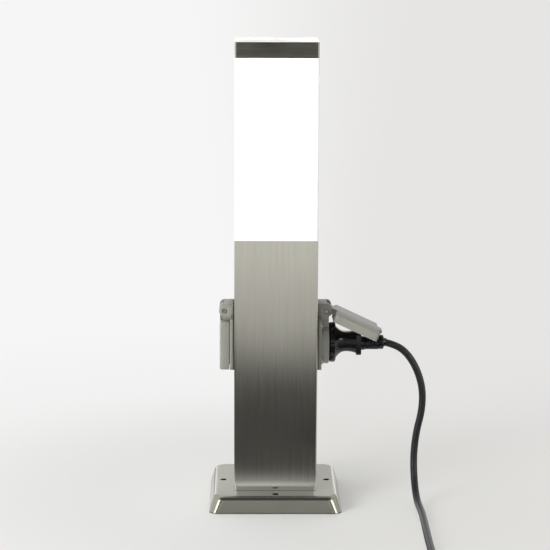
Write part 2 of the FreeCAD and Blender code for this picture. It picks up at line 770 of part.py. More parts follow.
def make_outlet_frame(label):
    """Moulded frame: plate, collar round the well's mouth, hood, and hinge ears
    that reach down to the collar on two necks."""
    frame = new_body(label)
    plate = new_sketch(frame, "YZ_Plane", "seal_thick")
    add_rounded_rectangle(plate, "-plate_side / 2", "plate_side / 2",
                          PLATE_LOW, PLATE_HIGH, "plate_corner")
    pad(frame, plate, "plate_thick")
    hood = new_sketch(frame, "XZ_Plane")
    add_hood_outline(hood, "seal_thick")
    pad(frame, hood, "hood_width", both_ways=True)
    collar = new_sketch(frame, "YZ_Plane", "collar_front")
    add_circle(collar, "0", "0", "collar_outer / 2")
    pad(frame, collar, "collar_front - seal_thick", backward=True)
    soften(frame, "Chamfer", "collar_bevel",
           lambda edge: len(edge.Vertexes) == 1
           and abs(edge.BoundBox.XMin - number("collar_front")) < 1e-6)
    for way in ("", "-"):
        neck = new_sketch(frame, "XZ_Plane", way + EAR_MIDDLE)
        add_outline(neck, (PLATE_FRONT, NECK_LOW), (NECK_FRONT, NECK_LOW),
                    (NECK_FRONT, "pin_up"), (PLATE_FRONT, "pin_up"))
        pad(frame, neck, "ear_thick", both_ways=True)
    well = new_sketch(frame, "YZ_Plane", "collar_front")
    add_circle(well, "0", "0", "well_bore / 2")
    pocket(frame, well, "collar_front - seal_thick")
    slot = new_sketch(frame, "XZ_Plane")
    add_outline(slot,
                (PLATE_FRONT, PLATE_HIGH + " - plate_corner"),
                (HOOD_SIDE + " + cut_past", PLATE_HIGH + " - plate_corner"),
                (HOOD_SIDE + " + cut_past", "hood_top + cut_past"),
                ("hood_front", "hood_top + cut_past"),
                ("hood_front", "hood_top - hood_roof"),
                (PLATE_FRONT, "hood_top - hood_roof"))
    pocket(frame, slot, "hood_width - 2 * ear_thick", both_ways=True)
    pin_hole = new_sketch(frame, "XZ_Plane")
    add_circle(pin_hole, "pin_out", "pin_up", "pin_radius + pin_seat_gap")
    pocket(frame, pin_hole, "hood_width + cut_past", both_ways=True)
    for way in ("", "-"):
        sink = new_sketch(frame, "XZ_Plane", way + "(hood_width / 2)")
        add_circle(sink, "pin_out", "pin_up", "pin_sink_radius")
        pocket(frame, sink, "2 * pin_sink_depth", both_ways=True)
    screw_holes = new_sketch(frame, "YZ_Plane", PLATE_FRONT)
    for across, up in screw_places():
        add_circle(screw_holes, across, up, "outlet_screw_radius + screw_gap")
    pocket(frame, screw_holes, "plate_thick")
    return frame


def make_outlet_screws(label):
    """Four pan head screws through plate, seal and post wall."""
    screws = new_body(label)
    heads = new_sketch(screws, "YZ_Plane", PLATE_FRONT)
    shanks = new_sketch(screws, "YZ_Plane", PLATE_FRONT)
    for across, up in screw_places():
        add_circle(heads, across, up, "outlet_screw_head")
        add_circle(shanks, across, up, "outlet_screw_radius")
    pad(screws, heads, "outlet_screw_head_thick")
    pad(screws, shanks, "outlet_screw_length", backward=True)
    soften(screws, "Chamfer", "outlet_screw_bevel",
           lambda edge: len(edge.Vertexes) == 1 and edge.BoundBox.XMin > number(PLATE_FRONT) + 0.1)
    return screws


def make_outlet_insert(label):
    """Insert: round cup of the well, up to the frame, with its contact block."""
    insert = new_body(label)
    floor = new_sketch(insert, "YZ_Plane", WELL_FLOOR)
    add_circle(floor, "0", "0", "collar_outer / 2")
    pad(insert, floor, "insert_floor", backward=True)
    cup = new_sketch(insert, "YZ_Plane", WELL_FLOOR)
    add_circle(cup, "0", "0", "collar_outer / 2")
    add_circle(cup, "0", "0", "well_bore / 2")
    pad(insert, cup, "seal_thick - (%s)" % WELL_FLOOR)
    block = new_sketch(insert, "YZ_Plane", WELL_FLOOR)
    add_rounded_rectangle(block, "-insert_half_width", "insert_half_width",
                          "-insert_half_height", "insert_half_height", "insert_corner")
    pad(insert, block, "insert_back + " + WELL_FLOOR, backward=True)
    ways = new_sketch(insert, "YZ_Plane", WELL_FLOOR)
    for way in ("", "-"):
        add_circle(ways, way + "contact_pitch / 2", "0",
                   "contact_bore / 2 + contact_wall + contact_gap")
    pocket(insert, ways, "contact_length")
    return insert


def make_contact_sleeves(label):
    """Two brass sleeves that take the plug's pins."""
    sleeves = new_body(label)
    rings = new_sketch(sleeves, "YZ_Plane", WELL_FLOOR)
    for way in ("", "-"):
        add_circle(rings, way + "contact_pitch / 2", "0", "contact_bore / 2 + contact_wall")
        add_circle(rings, way + "contact_pitch / 2", "0", "contact_bore / 2")
    pad(sleeves, rings, "contact_length", backward=True)
    return sleeves


def make_earth_clips(label):
    """Two sprung earth strips, one above and one below, bent into the well."""
    clips = new_body(label)
    for way in ("", "-"):
        outer = "well_bore / 2 - earth_gap"
        inner = outer + " - earth_sheet"
        bend_start = WELL_FLOOR + " + earth_reach / 3"
        bend_crest = WELL_FLOOR + " + earth_reach * 2 / 3"
        tip = WELL_FLOOR + " + earth_reach"
        outline = new_sketch(clips, "XZ_Plane")
        corners = [(WELL_FLOOR, outer),
                   (WELL_FLOOR, inner),
                   (bend_start, inner),
                   (bend_crest, inner + " - earth_bend"),
                   (tip, inner),
                   (tip, outer),
                   (bend_crest, outer + " - earth_bend"),
                   (bend_start, outer)]
        corners = [(x, way + "(%s)" % z) for x, z in corners]
        add_outline(outline, *corners)
        pad(clips, outline, "earth_width", both_ways=True)
    return clips


def make_hinge_pin(label):
    """Steel pin, tight in the ears, on which the cover turns."""
    pin = new_body(label)
    section = new_sketch(pin, "XZ_Plane")
    add_circle(section, "pin_out", "pin_up", "pin_radius")
    pad(pin, section, "hood_width + 2 * pin_proud", both_ways=True)
    return pin


def make_cover(label):
    """Hinged cover: a shallow cap over the collar, with web, knuckles and grip.
    Its end wall is notched where the ears' necks pass."""
    cover = new_body(label)
    outer = new_sketch(cover, "YZ_Plane", "cover_back")
    add_rounded_rectangle(outer, "-cover_width / 2", "cover_width / 2",
                          "-cover_bottom", "cover_top", "cover_corner")
    pad(cover, outer, "cover_front - cover_back")
    soften(cover, "Chamfer", "cover_bevel",
           lambda edge: abs(edge.BoundBox.XMin - number("cover_front")) < 1e-6)
    grip = new_sketch(cover, "YZ_Plane", "cover_front")
    add_rounded_rectangle(grip, "-grip_width / 2", "grip_width / 2",
                          "-cover_bottom - grip_reach", "-cover_bottom + 2 * grip_corner",
                          "grip_corner")
    pad(cover, grip, "grip_thick", backward=True)
    knuckle = new_sketch(cover, "XZ_Plane")
    add_circle(knuckle, "pin_out", "pin_up", "knuckle_radius")
    pad(cover, knuckle, KNUCKLE_WIDTH, both_ways=True)
    web = new_sketch(cover, "XZ_Plane")
    add_outline(web,
                ("pin_out + knuckle_radius - web_thick", "cover_top - cover_end_wall"),
                ("pin_out + knuckle_radius", "cover_top - cover_end_wall"),
                ("pin_out + knuckle_radius", "pin_up"),
                ("pin_out + knuckle_radius - web_thick", "pin_up"))
    pad(cover, web, KNUCKLE_WIDTH, both_ways=True)
    hollow = new_sketch(cover, "YZ_Plane", "cover_back")
    add_rounded_rectangle(hollow, "-cover_width / 2 + cover_wall", "cover_width / 2 - cover_wall",
                          "-cover_bottom + cover_end_wall", "cover_top - cover_end_wall",
                          "cover_inner_corner")
    pocket(cover, hollow, "cover_front - cover_back - cover_face", forward=True)
    for way in ("", "-"):
        notch = new_sketch(cover, "XZ_Plane", way + EAR_MIDDLE)
        add_outline(notch,
                    ("cover_back - cut_past", "cover_top - cover_end_wall - cut_past"),
                    ("cover_front - cover_face", "cover_top - cover_end_wall - cut_past"),
                    ("cover_front - cover_face", "cover_top + cut_past"),
                    ("cover_back - cut_past", "cover_top + cut_past"))
        pocket(cover, notch, "ear_thick + 2 * knuckle_gap", both_ways=True)
    slot = new_sketch(cover, "XZ_Plane")
    add_circle(slot, "pin_out", "pin_up", "spring_slot_radius")
    pocket(cover, slot, "spring_slot", both_ways=True)
    bore = new_sketch(cover, "XZ_Plane")
    add_circle(bore, "pin_out", "pin_up", "pin_radius + pin_run_gap")
    pocket(cover, bore, "hood_width", both_ways=True)
    return cover


def make_cover_seal(label):
    """Rubber ring in the cover, which shuts on the collar's rim."""
    ring = new_body(label)
    section = new_sketch(ring, "YZ_Plane", "collar_front")
    add_circle(section, "0", "0", "cover_seal_outer")
    add_circle(section, "0", "0", "cover_seal_inner")
    pad(ring, section, "cover_front - cover_face - collar_front")
    return ring


KNUCKLE_WIDTH = "hood_width - 2 * ear_thick - 2 * knuckle_gap"


# Wires, springs and the lead: one round section swept along lines and arcs.

def arc_from(start, heading, end):
    """The arc that leaves start along heading and reaches end."""
    chord = end - start
    bend = heading.cross(chord)
    if bend.Length < 1e-9 * chord.Length:
        return Part.LineSegment(start, end).toShape()
    side = bend.cross(heading).normalize()
    radius = chord.dot(chord) / (2 * chord.dot(side))
    centre = start + side * radius
    middle = start + chord * 0.5 - centre
    middle = middle.normalize() * abs(radius)
    if heading.dot(chord) < 0:
        middle = -middle
    return Part.Arc(start, centre + middle, end).toShape()


def biarc(start, heading, end, arrival):
    """Two arcs that join start and end with the given headings."""
    chord = end - start
    turn = heading + arrival
    spread = 2 * (1 - heading.dot(arrival))
    if spread < 1e-9:
        reach = chord.dot(chord) / (4 * chord.dot(arrival))
    else:
        along = chord.dot(turn)
        reach = (-along + math.sqrt(along * along + spread * chord.dot(chord))) / spread
    joint = (start + end + (heading - arrival) * reach) * 0.5
    first = arc_from(start, heading, joint)
    back = arc_from(end, -arrival, joint)
    return [first, reversed_edge(back)]


def reversed_edge(edge):
    first, last = edge.FirstParameter, edge.LastParameter
    ends = edge.valueAt(last), edge.valueAt(first)
    if edge.Curve.TypeId == "Part::GeomLine":
        return Part.LineSegment(*ends).toShape()
    return Part.Arc(ends[0], edge.valueAt((first + last) / 2), ends[1]).toShape()


def tube(edges, radius):
    """A round tube along joined edges, swept in one pass."""
    path = Part.Wire(edges)
    start = edges[0].valueAt(edges[0].FirstParameter)
    heading = edges[0].tangentAt(edges[0].FirstParameter)
    ring = Part.Wire([Part.Circle(start, heading, radius).toShape()])
    return path.makePipeShell([ring], True, False)


ARC_SHARE = 0.45


def rounded_route(points, name, diameter):
    """Straight runs through the points, joined by arcs as large as they allow."""
    edges = []
    radii = []
    here = points[0]
    for before, corner, after in zip(points, points[1:], points[2:]):
        into = (corner - before).normalize()
        out = (after - corner).normalize()
        cut = ARC_SHARE * min((corner - before).Length, (after - corner).Length)
        half_turn = into.getAngle(out) / 2
        radii.append(cut / math.tan(half_turn))
        begin = corner - into * cut
        end = corner + out * cut
        edges.append(Part.LineSegment(here, begin).toShape())
        edges.append(arc_from(begin, into, end))
        here = end
    edges.append(Part.LineSegment(here, points[-1]).toShape())
    shape = tube(edges, diameter / 2)
    length = sum(edge.Length for edge in edges)
    print("%s: length %.1f, least radius %.1f of %s, volume ratio %.4f" % (
        name, length, min(radii), [round(radius) for radius in radii],
        shape.Volume / (math.pi * diameter * diameter / 4 * length)))
    return shape


def add_shape(label, shape, placement=None):
    piece = doc.addObject("Part::Feature", label)
    piece.Label = label
    piece.Shape = shape
    if placement is not None:
        piece.Placement = placement
    return piece


def make_cover_spring(label):
    """Torsion spring round the pin: one leg down in the web, one up to the roof."""
    wire = number("spring_wire")
    radius = number("spring_radius")
    pitch = number("spring_pitch")
    leg = number("spring_leg")
    middle = Vector(number("pin_out"), 0, number("pin_up"))
    quarters = int(number("spring_turns")) * 4 + 2
    rise = pitch / 4
    first_side = -rise * quarters / 2

    def spot(quarter):
        angle = quarter * math.pi / 2
        around = Vector(radius * math.cos(angle), 0, radius * math.sin(angle))
        return middle + around + Vector(0, first_side + rise * quarter, 0)

    def heading(quarter):
        angle = quarter * math.pi / 2
        ahead = Vector(-radius * math.sin(angle), 0, radius * math.cos(angle)) * (math.pi / 2)
        return (ahead + Vector(0, rise, 0)).normalize()

    begin = spot(0) - heading(0) * leg
    edges = [Part.LineSegment(begin, spot(0)).toShape()]
    for quarter in range(quarters):
        edges += biarc(spot(quarter), heading(quarter), spot(quarter + 1), heading(quarter + 1))
    finish = spot(quarters) + heading(quarters) * leg
    edges.append(Part.LineSegment(spot(quarters), finish).toShape())
    return add_shape(label, tube(edges, wire / 2))


# The angle at which the open cover lies on the plug's strain relief: its free
# edge, seen from the pin, comes down to the relief's top.
edge_down = number("pin_up + cover_bottom")
edge_in = number("pin_out - cover_back")
drop = number("pin_up - relief_radius + relief_drop - rest_gap")
rest_angle = math.degrees(math.atan2(edge_in, edge_down)
                          + math.acos(drop / math.hypot(edge_down, edge_in)))
print("right cover rests open at %.3f degrees" % rest_angle)
print("its way on to 110 degrees is %.3f degrees" % (110 - rest_angle))

pin_spot = Vector(number("pin_out"), 0, number("pin_up"))
open_turn = FreeCAD.Placement(Vector(), FreeCAD.Rotation(Vector(0, 1, 0), -rest_angle), pin_spot)

FIXED_MAKERS = {
    "outlet_seal": make_outlet_seal,
    "outlet_frame": make_outlet_frame,
    "outlet_screws": make_outlet_screws,
    "outlet_insert": make_outlet_insert,
    "contact_sleeves": make_contact_sleeves,
    "earth_clips": make_earth_clips,
    "hinge_pin": make_hinge_pin,
}
COVER_MAKERS = {
    "cover": make_cover,
    "cover_seal": make_cover_seal,
    "cover_spring": make_cover_spring,
}
side_turns = {
    "right": FreeCAD.Placement(Vector(number("post_side / 2"), 0, number("outlet_level")),
                               FreeCAD.Rotation()),
    "left": FreeCAD.Placement(Vector(-number("post_side / 2"), 0, number("outlet_level")),
                              FreeCAD.Rotation(Vector(0, 0, 1), 180)),
}
for side, stand in side_turns.items():
    for name, maker in FIXED_MAKERS.items():
        place(maker("%s_%s" % (name, side)), "post_side / 2", "outlet_level", side == "left")
    for name, maker in COVER_MAKERS.items():
        piece = maker("%s_%s" % (name, side))
        piece.Placement = stand * open_turn if side == "right" else stand


# Plug in the right outlet, drawn in the outlet's own place.
NOSE_FACE = WELL_FLOOR + " + plug_face_gap"
FLANGE_BACK = "collar_front + plug_flange_gap"
FLANGE_END = FLANGE_BACK + " + plug_flange_thick"


# The grip's sections: 0 at the flange, 1 at the waist, 2 at the block.
GRIP_STATIONS = (0, 0.15, 0.35, 0.6, 1, 1.5, 2)
GRIP_CURL = 2.6
GRIP_CURL_TOP = 2.0
GRIP_SWELL = 2.0
# how near to a full round the sections' ends are
GRIP_ROUND = 0.95


def grip_place(station):
    if station <= 1:
        return "%s + (grip_waist - (%s)) * %g" % (FLANGE_END, FLANGE_END, station)
    return "grip_waist + (grip_end - grip_waist) * %g" % (station - 1)


def grip_half(waist_half, station, curl=GRIP_CURL):
    """Reach from the axis: it curls in from the flange and swells again."""
    if station <= 1:
        end_half, share = "grip_root_half", (1 - station) ** curl
    else:
        end_half, share = "grip_end_half", (station - 1) ** GRIP_SWELL
    return "(%s + (%s - %s) * %g)" % (waist_half, end_half, waist_half, share)


def make_plug_body(label):
    """Moulded plug: nose in the well, flange, waisted grip, block, relief, boot."""
    plug = new_body(label)
    front = new_sketch(plug, "XZ_Plane")
    add_outline(front,
                (NOSE_FACE, "0"),
                (NOSE_FACE, "plug_nose / 2 - plug_nose_edge"),
                (NOSE_FACE + " + plug_nose_edge", "plug_nose / 2"),
                (FLANGE_BACK, "plug_nose / 2"),
                (FLANGE_BACK, "plug_flange / 2 - plug_flange_edge"),
                (FLANGE_BACK + " + plug_flange_edge", "plug_flange / 2"),
                (FLANGE_END + " - plug_flange_edge", "plug_flange / 2"),
                (FLANGE_END, "plug_flange / 2 - plug_flange_edge"),
                (FLANGE_END, "0"))
    revolve(plug, front, "X_Axis")
    sections = []
    for station in GRIP_STATIONS:
        wide = grip_half("grip_waist_half_wide", station)
        low = grip_half("grip_waist_half", station)
        high = grip_half("grip_waist_top", station, GRIP_CURL_TOP)
        section = new_sketch(plug, "YZ_Plane", grip_place(station))
        add_rounded_rectangle(section, "-" + wide, wide, "-" + low, high,
                              "%g * %s" % (GRIP_ROUND, low))
        sections.append(section)
    loft(plug, sections, smooth=True)
    block = new_sketch(plug, "YZ_Plane", "grip_end")
    add_rounded_rectangle(block, "-plug_block_half", "plug_block_half",
                          "-plug_block_half", "plug_block_half", "plug_block_corner")
    pad(plug, block, "plug_block_end - grip_end")
    soften(plug, "Fillet", "plug_block_round",
           lambda edge: abs(edge.BoundBox.XMin - number("plug_block_end")) < 1e-6
           and edge.BoundBox.XLength < 1e-6)
    # the relief is pressed down a little by the cover that lies on it
    taper = []
    for along, radius in (("plug_block_end", "relief_start"), ("relief_taper_end", "relief_radius")):
        ring = new_sketch(plug, "YZ_Plane", along)
        add_circle(ring, "0", "-relief_drop", radius)
        taper.append(ring)
    loft(plug, taper)
    straight = new_sketch(plug, "YZ_Plane", "relief_taper_end")
    add_circle(straight, "0", "-relief_drop", "relief_radius")
    pad(plug, straight, "relief_end - relief_taper_end")
    boot = new_sketch(plug, "XZ_Plane")
    add_outline(boot,
                ("relief_end", "0"),
                ("relief_end", "boot_radius - boot_edge"),
                ("relief_end + boot_edge", "boot_radius"),
                ("boot_end - boot_edge", "boot_radius"),
                ("boot_end", "boot_radius - boot_edge"),
                ("boot_end", "0"))
    revolve(plug, boot, "X_Axis")
    for way in ("", "-"):
        slots = new_sketch(plug, "XZ_Plane", way + "relief_core")
        for slot in range(int(number("relief_slots"))):
            middle = "plug_block_end + relief_slot_first + %d * relief_slot_pitch" % slot
            add_rounded_rectangle(slots, middle + " - relief_slot / 2", middle + " + relief_slot / 2",
                                  "-relief_slot_half - relief_drop", "relief_slot_half - relief_drop",
                                  "relief_slot / 3")
        pocket(plug, slots, "relief_start", forward=not way)
    grooves = new_sketch(plug, "YZ_Plane", FLANGE_BACK)
    for way in ("", "-"):
        low, high = "plug_nose / 2 - earth_groove_depth", "plug_nose / 2 + cut_past"
        if way:
            low, high = "-(%s)" % high, "-(%s)" % low
        add_rounded_rectangle(grooves, "-earth_groove / 2", "earth_groove / 2", low, high,
                              "earth_groove_corner")
    pocket(plug, grooves, FLANGE_BACK + " - (%s)" % NOSE_FACE)
    return plug


plug_stand = side_turns["right"]
plug_body = make_plug_body("plug_body")
plug_body.Placement = plug_stand

# The lead leaves the boot on a short sloping nose.
exit_slope = math.radians(number("exit_slope"))
exit_heading = Vector(math.cos(exit_slope), 0, -math.sin(exit_slope))
boot_middle = plug_stand.multVec(Vector(number("boot_end"), 0, 0))
exit_point = boot_middle + exit_heading * number("exit_reach")
nose_length = number("exit_reach + exit_root")
exit_nose = Part.makeCylinder(number("exit_radius"), nose_length,
                              exit_point - exit_heading * nose_length, exit_heading)
exit_piece = doc.addObject("Part::Feature", "exit_nose")
exit_piece.Shape = exit_nose
plug = doc.addObject("Part::Fuse", "plug")
plug.Base = plug_body
plug.Tool = exit_piece
plug.Label = "plug"

plug_pins = new_body("plug_pins")
pin_ends = new_sketch(plug_pins, "YZ_Plane", NOSE_FACE)
for way in ("", "-"):
    add_circle(pin_ends, way + "contact_pitch / 2", "0", "plug_pin / 2")
pad(plug_pins, pin_ends, "plug_pin_length", backward=True)
soften(plug_pins, "Fillet", "plug_pin / 2 - plug_pin_flat",
       lambda edge: len(edge.Vertexes) == 1
       and edge.BoundBox.XMax < number(NOSE_FACE + " - plug_pin_length / 2"))
plug_pins.Placement = plug_stand

plug_earths = new_body("plug_earth_strips")
for way in ("", "-"):
    strip = new_sketch(plug_earths, "YZ_Plane", FLANGE_BACK)
    floor = "plug_nose / 2 - earth_groove_depth"
    ceiling = floor + " + plug_earth_sheet"
    low, high = (floor, ceiling) if not way else ("-(%s)" % ceiling, "-(%s)" % floor)
    add_rounded_rectangle(strip, "-earth_groove / 2 + plug_earth_gap",
                          "earth_groove / 2 - plug_earth_gap", low, high, "plug_earth_corner")
    pad(plug_earths, strip, FLANGE_BACK + " - (%s) - plug_earth_short" % NOSE_FACE, backward=True)
plug_earths.Placement = plug_stand

# Lead: the free stretch from the plug, down to the floor and forward to the coil.
lead = number("lead_diameter")
floor_line = lead / 2
coil_line = floor_line + number("tie_thick + tie_gap")
coil_x = 138.5
coil_y = -284.0
LEAD_POINTS = [
    (129.2, -1.5, 144.6),
    (138.7, -3.5, 129.8),
    (144.6, -6.0, 110.5),
    (144.2, -8.0, 89.0),
    (138.6, -10.0, 67.5),
    (136.0, -13.0, 44.0),
    (136.5, -21.0, 20.0),
    (138.0, -39.0, 5.5),
    (140.0, -64.0, 3.5),
    (140.0, -96.0, 3.5),
    (139.3, -134.0, 3.5),
    (138.8, -174.0, 3.5),
    (139.0, -212.0, 3.5),
]
first_run = 11.0
last_run = 36.0
route = [exit_point, exit_point + exit_heading * first_run]
route += [Vector(*point) for point in LEAD_POINTS]
route += [Vector(coil_x, coil_y + last_run, coil_line), Vector(coil_x, coil_y, coil_line)]
add_shape("lead_free", rounded_route(route, "free lead", lead))

# Coil: half circles that spiral in on the floor layer, one that climbs, and
# half circles that spiral out on top of them.
start_radius = number("coil_start_radius")
pitch = number("coil_pitch")
layer = number("coil_layer")
half_turns = int(number("coil_half_turns"))
inner_radius = start_radius - half_turns * pitch / 2
radii = [start_radius - turn * pitch / 2 for turn in range(half_turns)]
radii.append(inner_radius)
radii += [inner_radius + turn * pitch / 2 for turn in range(1, half_turns)]

coil_edges = []
spot = Vector(coil_x, coil_y, coil_line)
toward_object = Vector(0, 1, 0)
for turn, radius in enumerate(radii):
    inward = Vector(-1 if turn % 2 == 0 else 1, 0, 0)
    ahead = -toward_object if turn % 2 == 0 else toward_object
    rise = layer if turn == half_turns else 0
    far = spot + inward * (2 * radius) + Vector(0, 0, rise)
    if rise:
        crest = spot + inward * radius + ahead * radius + Vector(0, 0, rise / 2)
        slope = (inward * (math.pi * radius) + Vector(0, 0, 2 * rise)).normalize()
        coil_edges += biarc(spot, ahead, crest, slope)
        coil_edges += biarc(crest, slope, far, -ahead)
    else:
        crest = spot + inward * radius + ahead * radius
        coil_edges.append(Part.Arc(spot, crest, far).toShape())
    spot = far
tail_end = spot - toward_object * number("tail_length")
coil_edges.append(Part.LineSegment(spot, tail_end).toShape())
coil_shape = tube(coil_edges, lead / 2)
add_shape("lead_coil", coil_shape)
coil_length = sum(edge.Length for edge in coil_edges)
print("coil: length %.1f, volume ratio %.4f" % (
    coil_length, coil_shape.Volume / (math.pi * lead * lead / 4 * coil_length)))


def least_gap(edges, diameter):
    """Least space between stretches of the tube that lie a half turn apart or more."""
    marks = []
    travelled = 0.0
    for edge in edges:
        count = max(2, int(edge.Length / 2))
        span = edge.LastParameter - edge.FirstParameter
        for step in range(count):
            marks.append((travelled + edge.Length * step / count,
                          edge.valueAt(edge.FirstParameter + span * step / count)))
        travelled += edge.Length
    apart = math.pi * inner_radius
    return min((first[1] - second[1]).Length for index, first in enumerate(marks)
               for second in marks[index + 1:] if second[0] - first[0] > apart) - diameter


print("coil: least gap to itself %.2f" % least_gap(coil_edges, lead))

# Tie: a strap round the coil's bundle, on the side away from the plug.
tie_gap = number("tie_gap")
tie_thick = number("tie_thick")
tie_width = number("tie_width")
coil_middle_x = coil_x - start_radius
bundle_out = coil_middle_x - start_radius - lead / 2 - tie_gap
bend_in = tie_width * tie_width / (8 * inner_radius)
bundle_in = coil_middle_x - inner_radius + lead / 2 + bend_in + tie_gap
bundle_top = coil_line + layer + lead / 2 + tie_gap
tie = new_body("coil_tie")
TIE_LEFT = "%.6f" % bundle_out
TIE_RIGHT = "%.6f" % bundle_in
TIE_TOP = "%.6f" % bundle_top
tie_section = new_sketch(tie, "XZ_Plane", "%.6f" % -coil_y)
add_rounded_rectangle(tie_section, TIE_LEFT + " - tie_thick", TIE_RIGHT + " + tie_thick",
                      "0", TIE_TOP + " + tie_thick", "tie_corner + tie_thick")
add_rounded_rectangle(tie_section, TIE_LEFT, TIE_RIGHT, "tie_thick", TIE_TOP, "tie_corner")
pad(tie, tie_section, "tie_width", both_ways=True)

# Connector at the far end, lying beside the coil.
connector = new_body("connector")
body_start = new_sketch(connector, "XZ_Plane", "connector_relief")
add_rounded_rectangle(body_start, "-connector_shoulder", "connector_shoulder",
                      "-connector_shoulder_high", "connector_shoulder_high", "connector_corner")
body_wide = new_sketch(connector, "XZ_Plane", "connector_relief + connector_length / 3")
add_rounded_rectangle(body_wide, "-connector_width / 2", "connector_width / 2",
                      "-connector_rise / 2", "connector_rise / 2", "connector_corner")
body_end = new_sketch(connector, "XZ_Plane", "connector_relief + connector_length")
add_rounded_rectangle(body_end, "-connector_width / 2", "connector_width / 2",
                      "-connector_rise / 2", "connector_rise / 2", "connector_corner")
loft(connector, [body_start, body_wide, body_end])
RELIEF_ROOT = "-connector_relief - connector_relief_root"
relief_half = new_sketch(connector, "XY_Plane")
add_outline(relief_half,
            ("0", "0"),
            ("connector_relief_radius - connector_relief_taper", "0"),
            ("connector_relief_radius + connector_relief_taper", RELIEF_ROOT),
            ("0", RELIEF_ROOT))
revolve(connector, relief_half, "Y_Axis")
slots = new_sketch(connector, "XZ_Plane", "connector_relief + connector_length")
for across, up in (("0", "connector_slot_high / 2"),
                   ("connector_slot_pitch", "-connector_slot_high"),
                   ("-connector_slot_pitch", "-connector_slot_high")):
    add_rounded_rectangle(slots, across + " - connector_slot_wide / 2",
                          across + " + connector_slot_wide / 2",
                          up + " - connector_slot_high / 2", up + " + connector_slot_high / 2",
                          "connector_slot_corner")
pocket(connector, slots, "connector_slot_deep")
connector.Placement = FreeCAD.Placement(tail_end, FreeCAD.Rotation())

# Leads inside the post, from the terminal block to the lamp and the outlets.
lead_back = number(TERMINAL_FACE + " - terminal_depth / 2")
block_top = number(BLOCK_BOTTOM + " + terminal_rise")
lamp_under = number(LAMP_LEVEL)
turn_level = number(LAMP_LEVEL + " - lamp_lead_turn")
lamp_route = [Vector(0, lead_back, block_top), Vector(0, lead_back, turn_level),
              Vector(0, 0, turn_level + number("lamp_lead_slant")), Vector(0, 0, lamp_under)]
add_shape("lamp_lead_inner", rounded_route(lamp_route, "lamp lead", number("lamp_lead")))
for side, way in (("left", -1), ("right", 1)):
    lead_x = way * number("terminal_pitch * 2")
    entry = Vector(lead_x, number("insert_half_width"), number("outlet_level"))
    corner = Vector(lead_x, lead_back, entry.z)
    outlet_route = [Vector(lead_x, lead_back, block_top), corner, entry]
    add_shape("outlet_lead_" + side,
              rounded_route(outlet_route, side + " outlet lead", number("outlet_lead")))


# Every piece is checked before any file is written.
doc.recompute()
INNER_STEPS = {"plug_body", "exit_nose"}
pieces = [item for item in doc.Objects
          if item.TypeId in ("PartDesign::Body", "Part::Feature", "Part::Fuse")
          and item.Label not in INNER_STEPS]
for item in doc.Objects:
    if "Invalid" in item.State or "Error" in item.State:
        raise ValueError("%s failed: %s" % (item.Label, item.State))
for piece in pieces:
    if piece.Shape.isNull() or not piece.Shape.isValid():
        raise ValueError("%s has no valid shape" % piece.Label)

os.makedirs("parts", exist_ok=True)
for piece in pieces:
    piece.Shape.exportStep("parts/%s.step" % piece.Label)
print("%d pieces" % len(pieces))
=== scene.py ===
import bpy
import bmesh
import math
from mathutils import Matrix, Vector


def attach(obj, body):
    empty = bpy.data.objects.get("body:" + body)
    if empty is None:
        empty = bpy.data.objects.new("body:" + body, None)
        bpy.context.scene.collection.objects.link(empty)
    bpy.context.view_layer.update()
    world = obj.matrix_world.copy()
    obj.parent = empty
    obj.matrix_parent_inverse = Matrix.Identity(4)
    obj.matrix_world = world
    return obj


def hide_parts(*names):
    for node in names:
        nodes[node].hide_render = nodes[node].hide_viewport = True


# A square bollard light with two covered outlets, dressed for looks.
# Sizes are millimetres through MM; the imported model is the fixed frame.
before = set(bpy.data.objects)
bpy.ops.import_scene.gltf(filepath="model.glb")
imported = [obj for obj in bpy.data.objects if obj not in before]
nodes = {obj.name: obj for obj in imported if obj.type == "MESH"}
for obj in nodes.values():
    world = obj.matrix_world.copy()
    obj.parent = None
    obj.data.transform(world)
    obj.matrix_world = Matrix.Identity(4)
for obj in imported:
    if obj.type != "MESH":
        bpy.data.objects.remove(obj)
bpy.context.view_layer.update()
MM = 0.001
scene = bpy.context.scene


# Camera: it stands 1.9 m in front of the light and looks slightly down, as in
# the photograph. Its place and turn come from the post's and the foot's edges.
CAMERA_PLACE = Vector((-26.09, -1896.69, 563.86)) * MM
CAMERA_SWING = math.radians(-0.768)
CAMERA_DIP = math.radians(10.218)
CAMERA_ROLL = math.radians(0.243)
FRAME_PIXELS = 550
FOCAL_PIXELS = 1980.62
SENSOR_WIDTH = 36

camera_data = bpy.data.cameras.new("camera")
camera_data.sensor_width = SENSOR_WIDTH
camera_data.lens = FOCAL_PIXELS / FRAME_PIXELS * SENSOR_WIDTH
camera = bpy.data.objects.new("camera", camera_data)
camera.matrix_world = (Matrix.Translation(CAMERA_PLACE)
                       @ Matrix.Rotation(CAMERA_SWING, 4, "Z")
                       @ Matrix.Rotation(math.pi / 2 - CAMERA_DIP, 4, "X")
                       @ Matrix.Rotation(CAMERA_ROLL, 4, "Z"))
scene.collection.objects.link(camera)
scene.camera = camera
scene.view_settings.view_transform = "Standard"


# Floor: a plain pale studio floor. It takes the object's shadow close by, and
# further out it turns, in two steps, into the room's own tone, with a painted
# shadow that darkens it close to the object and to the right. Lengths here are in metres.
FLOOR_HALF = 20.0
FLOOR_DROP = 0.0002
FLOOR_TONE = "#f7f7f5"
FADE_START = -0.03
FADE_END = 0.20
FADE_SHARE = 0.75
FAR_START = 0.42
FAR_END = 0.9
ROOM_TONE = "#f6f6f6"
PAINTED_ROOM_SHADOW = "#e6e5e3"
PAINTED_NEAR_SHADOW = "#e3e3e1"
PAINTED_NEAR_RIGHT_SHADOW = "#dfdedb"
NEAR_START = 0.50
NEAR_FULL = 0.16
SLANT_SPREAD = 0.5
SHADE_START = -0.05
SHADE_END = 0.10


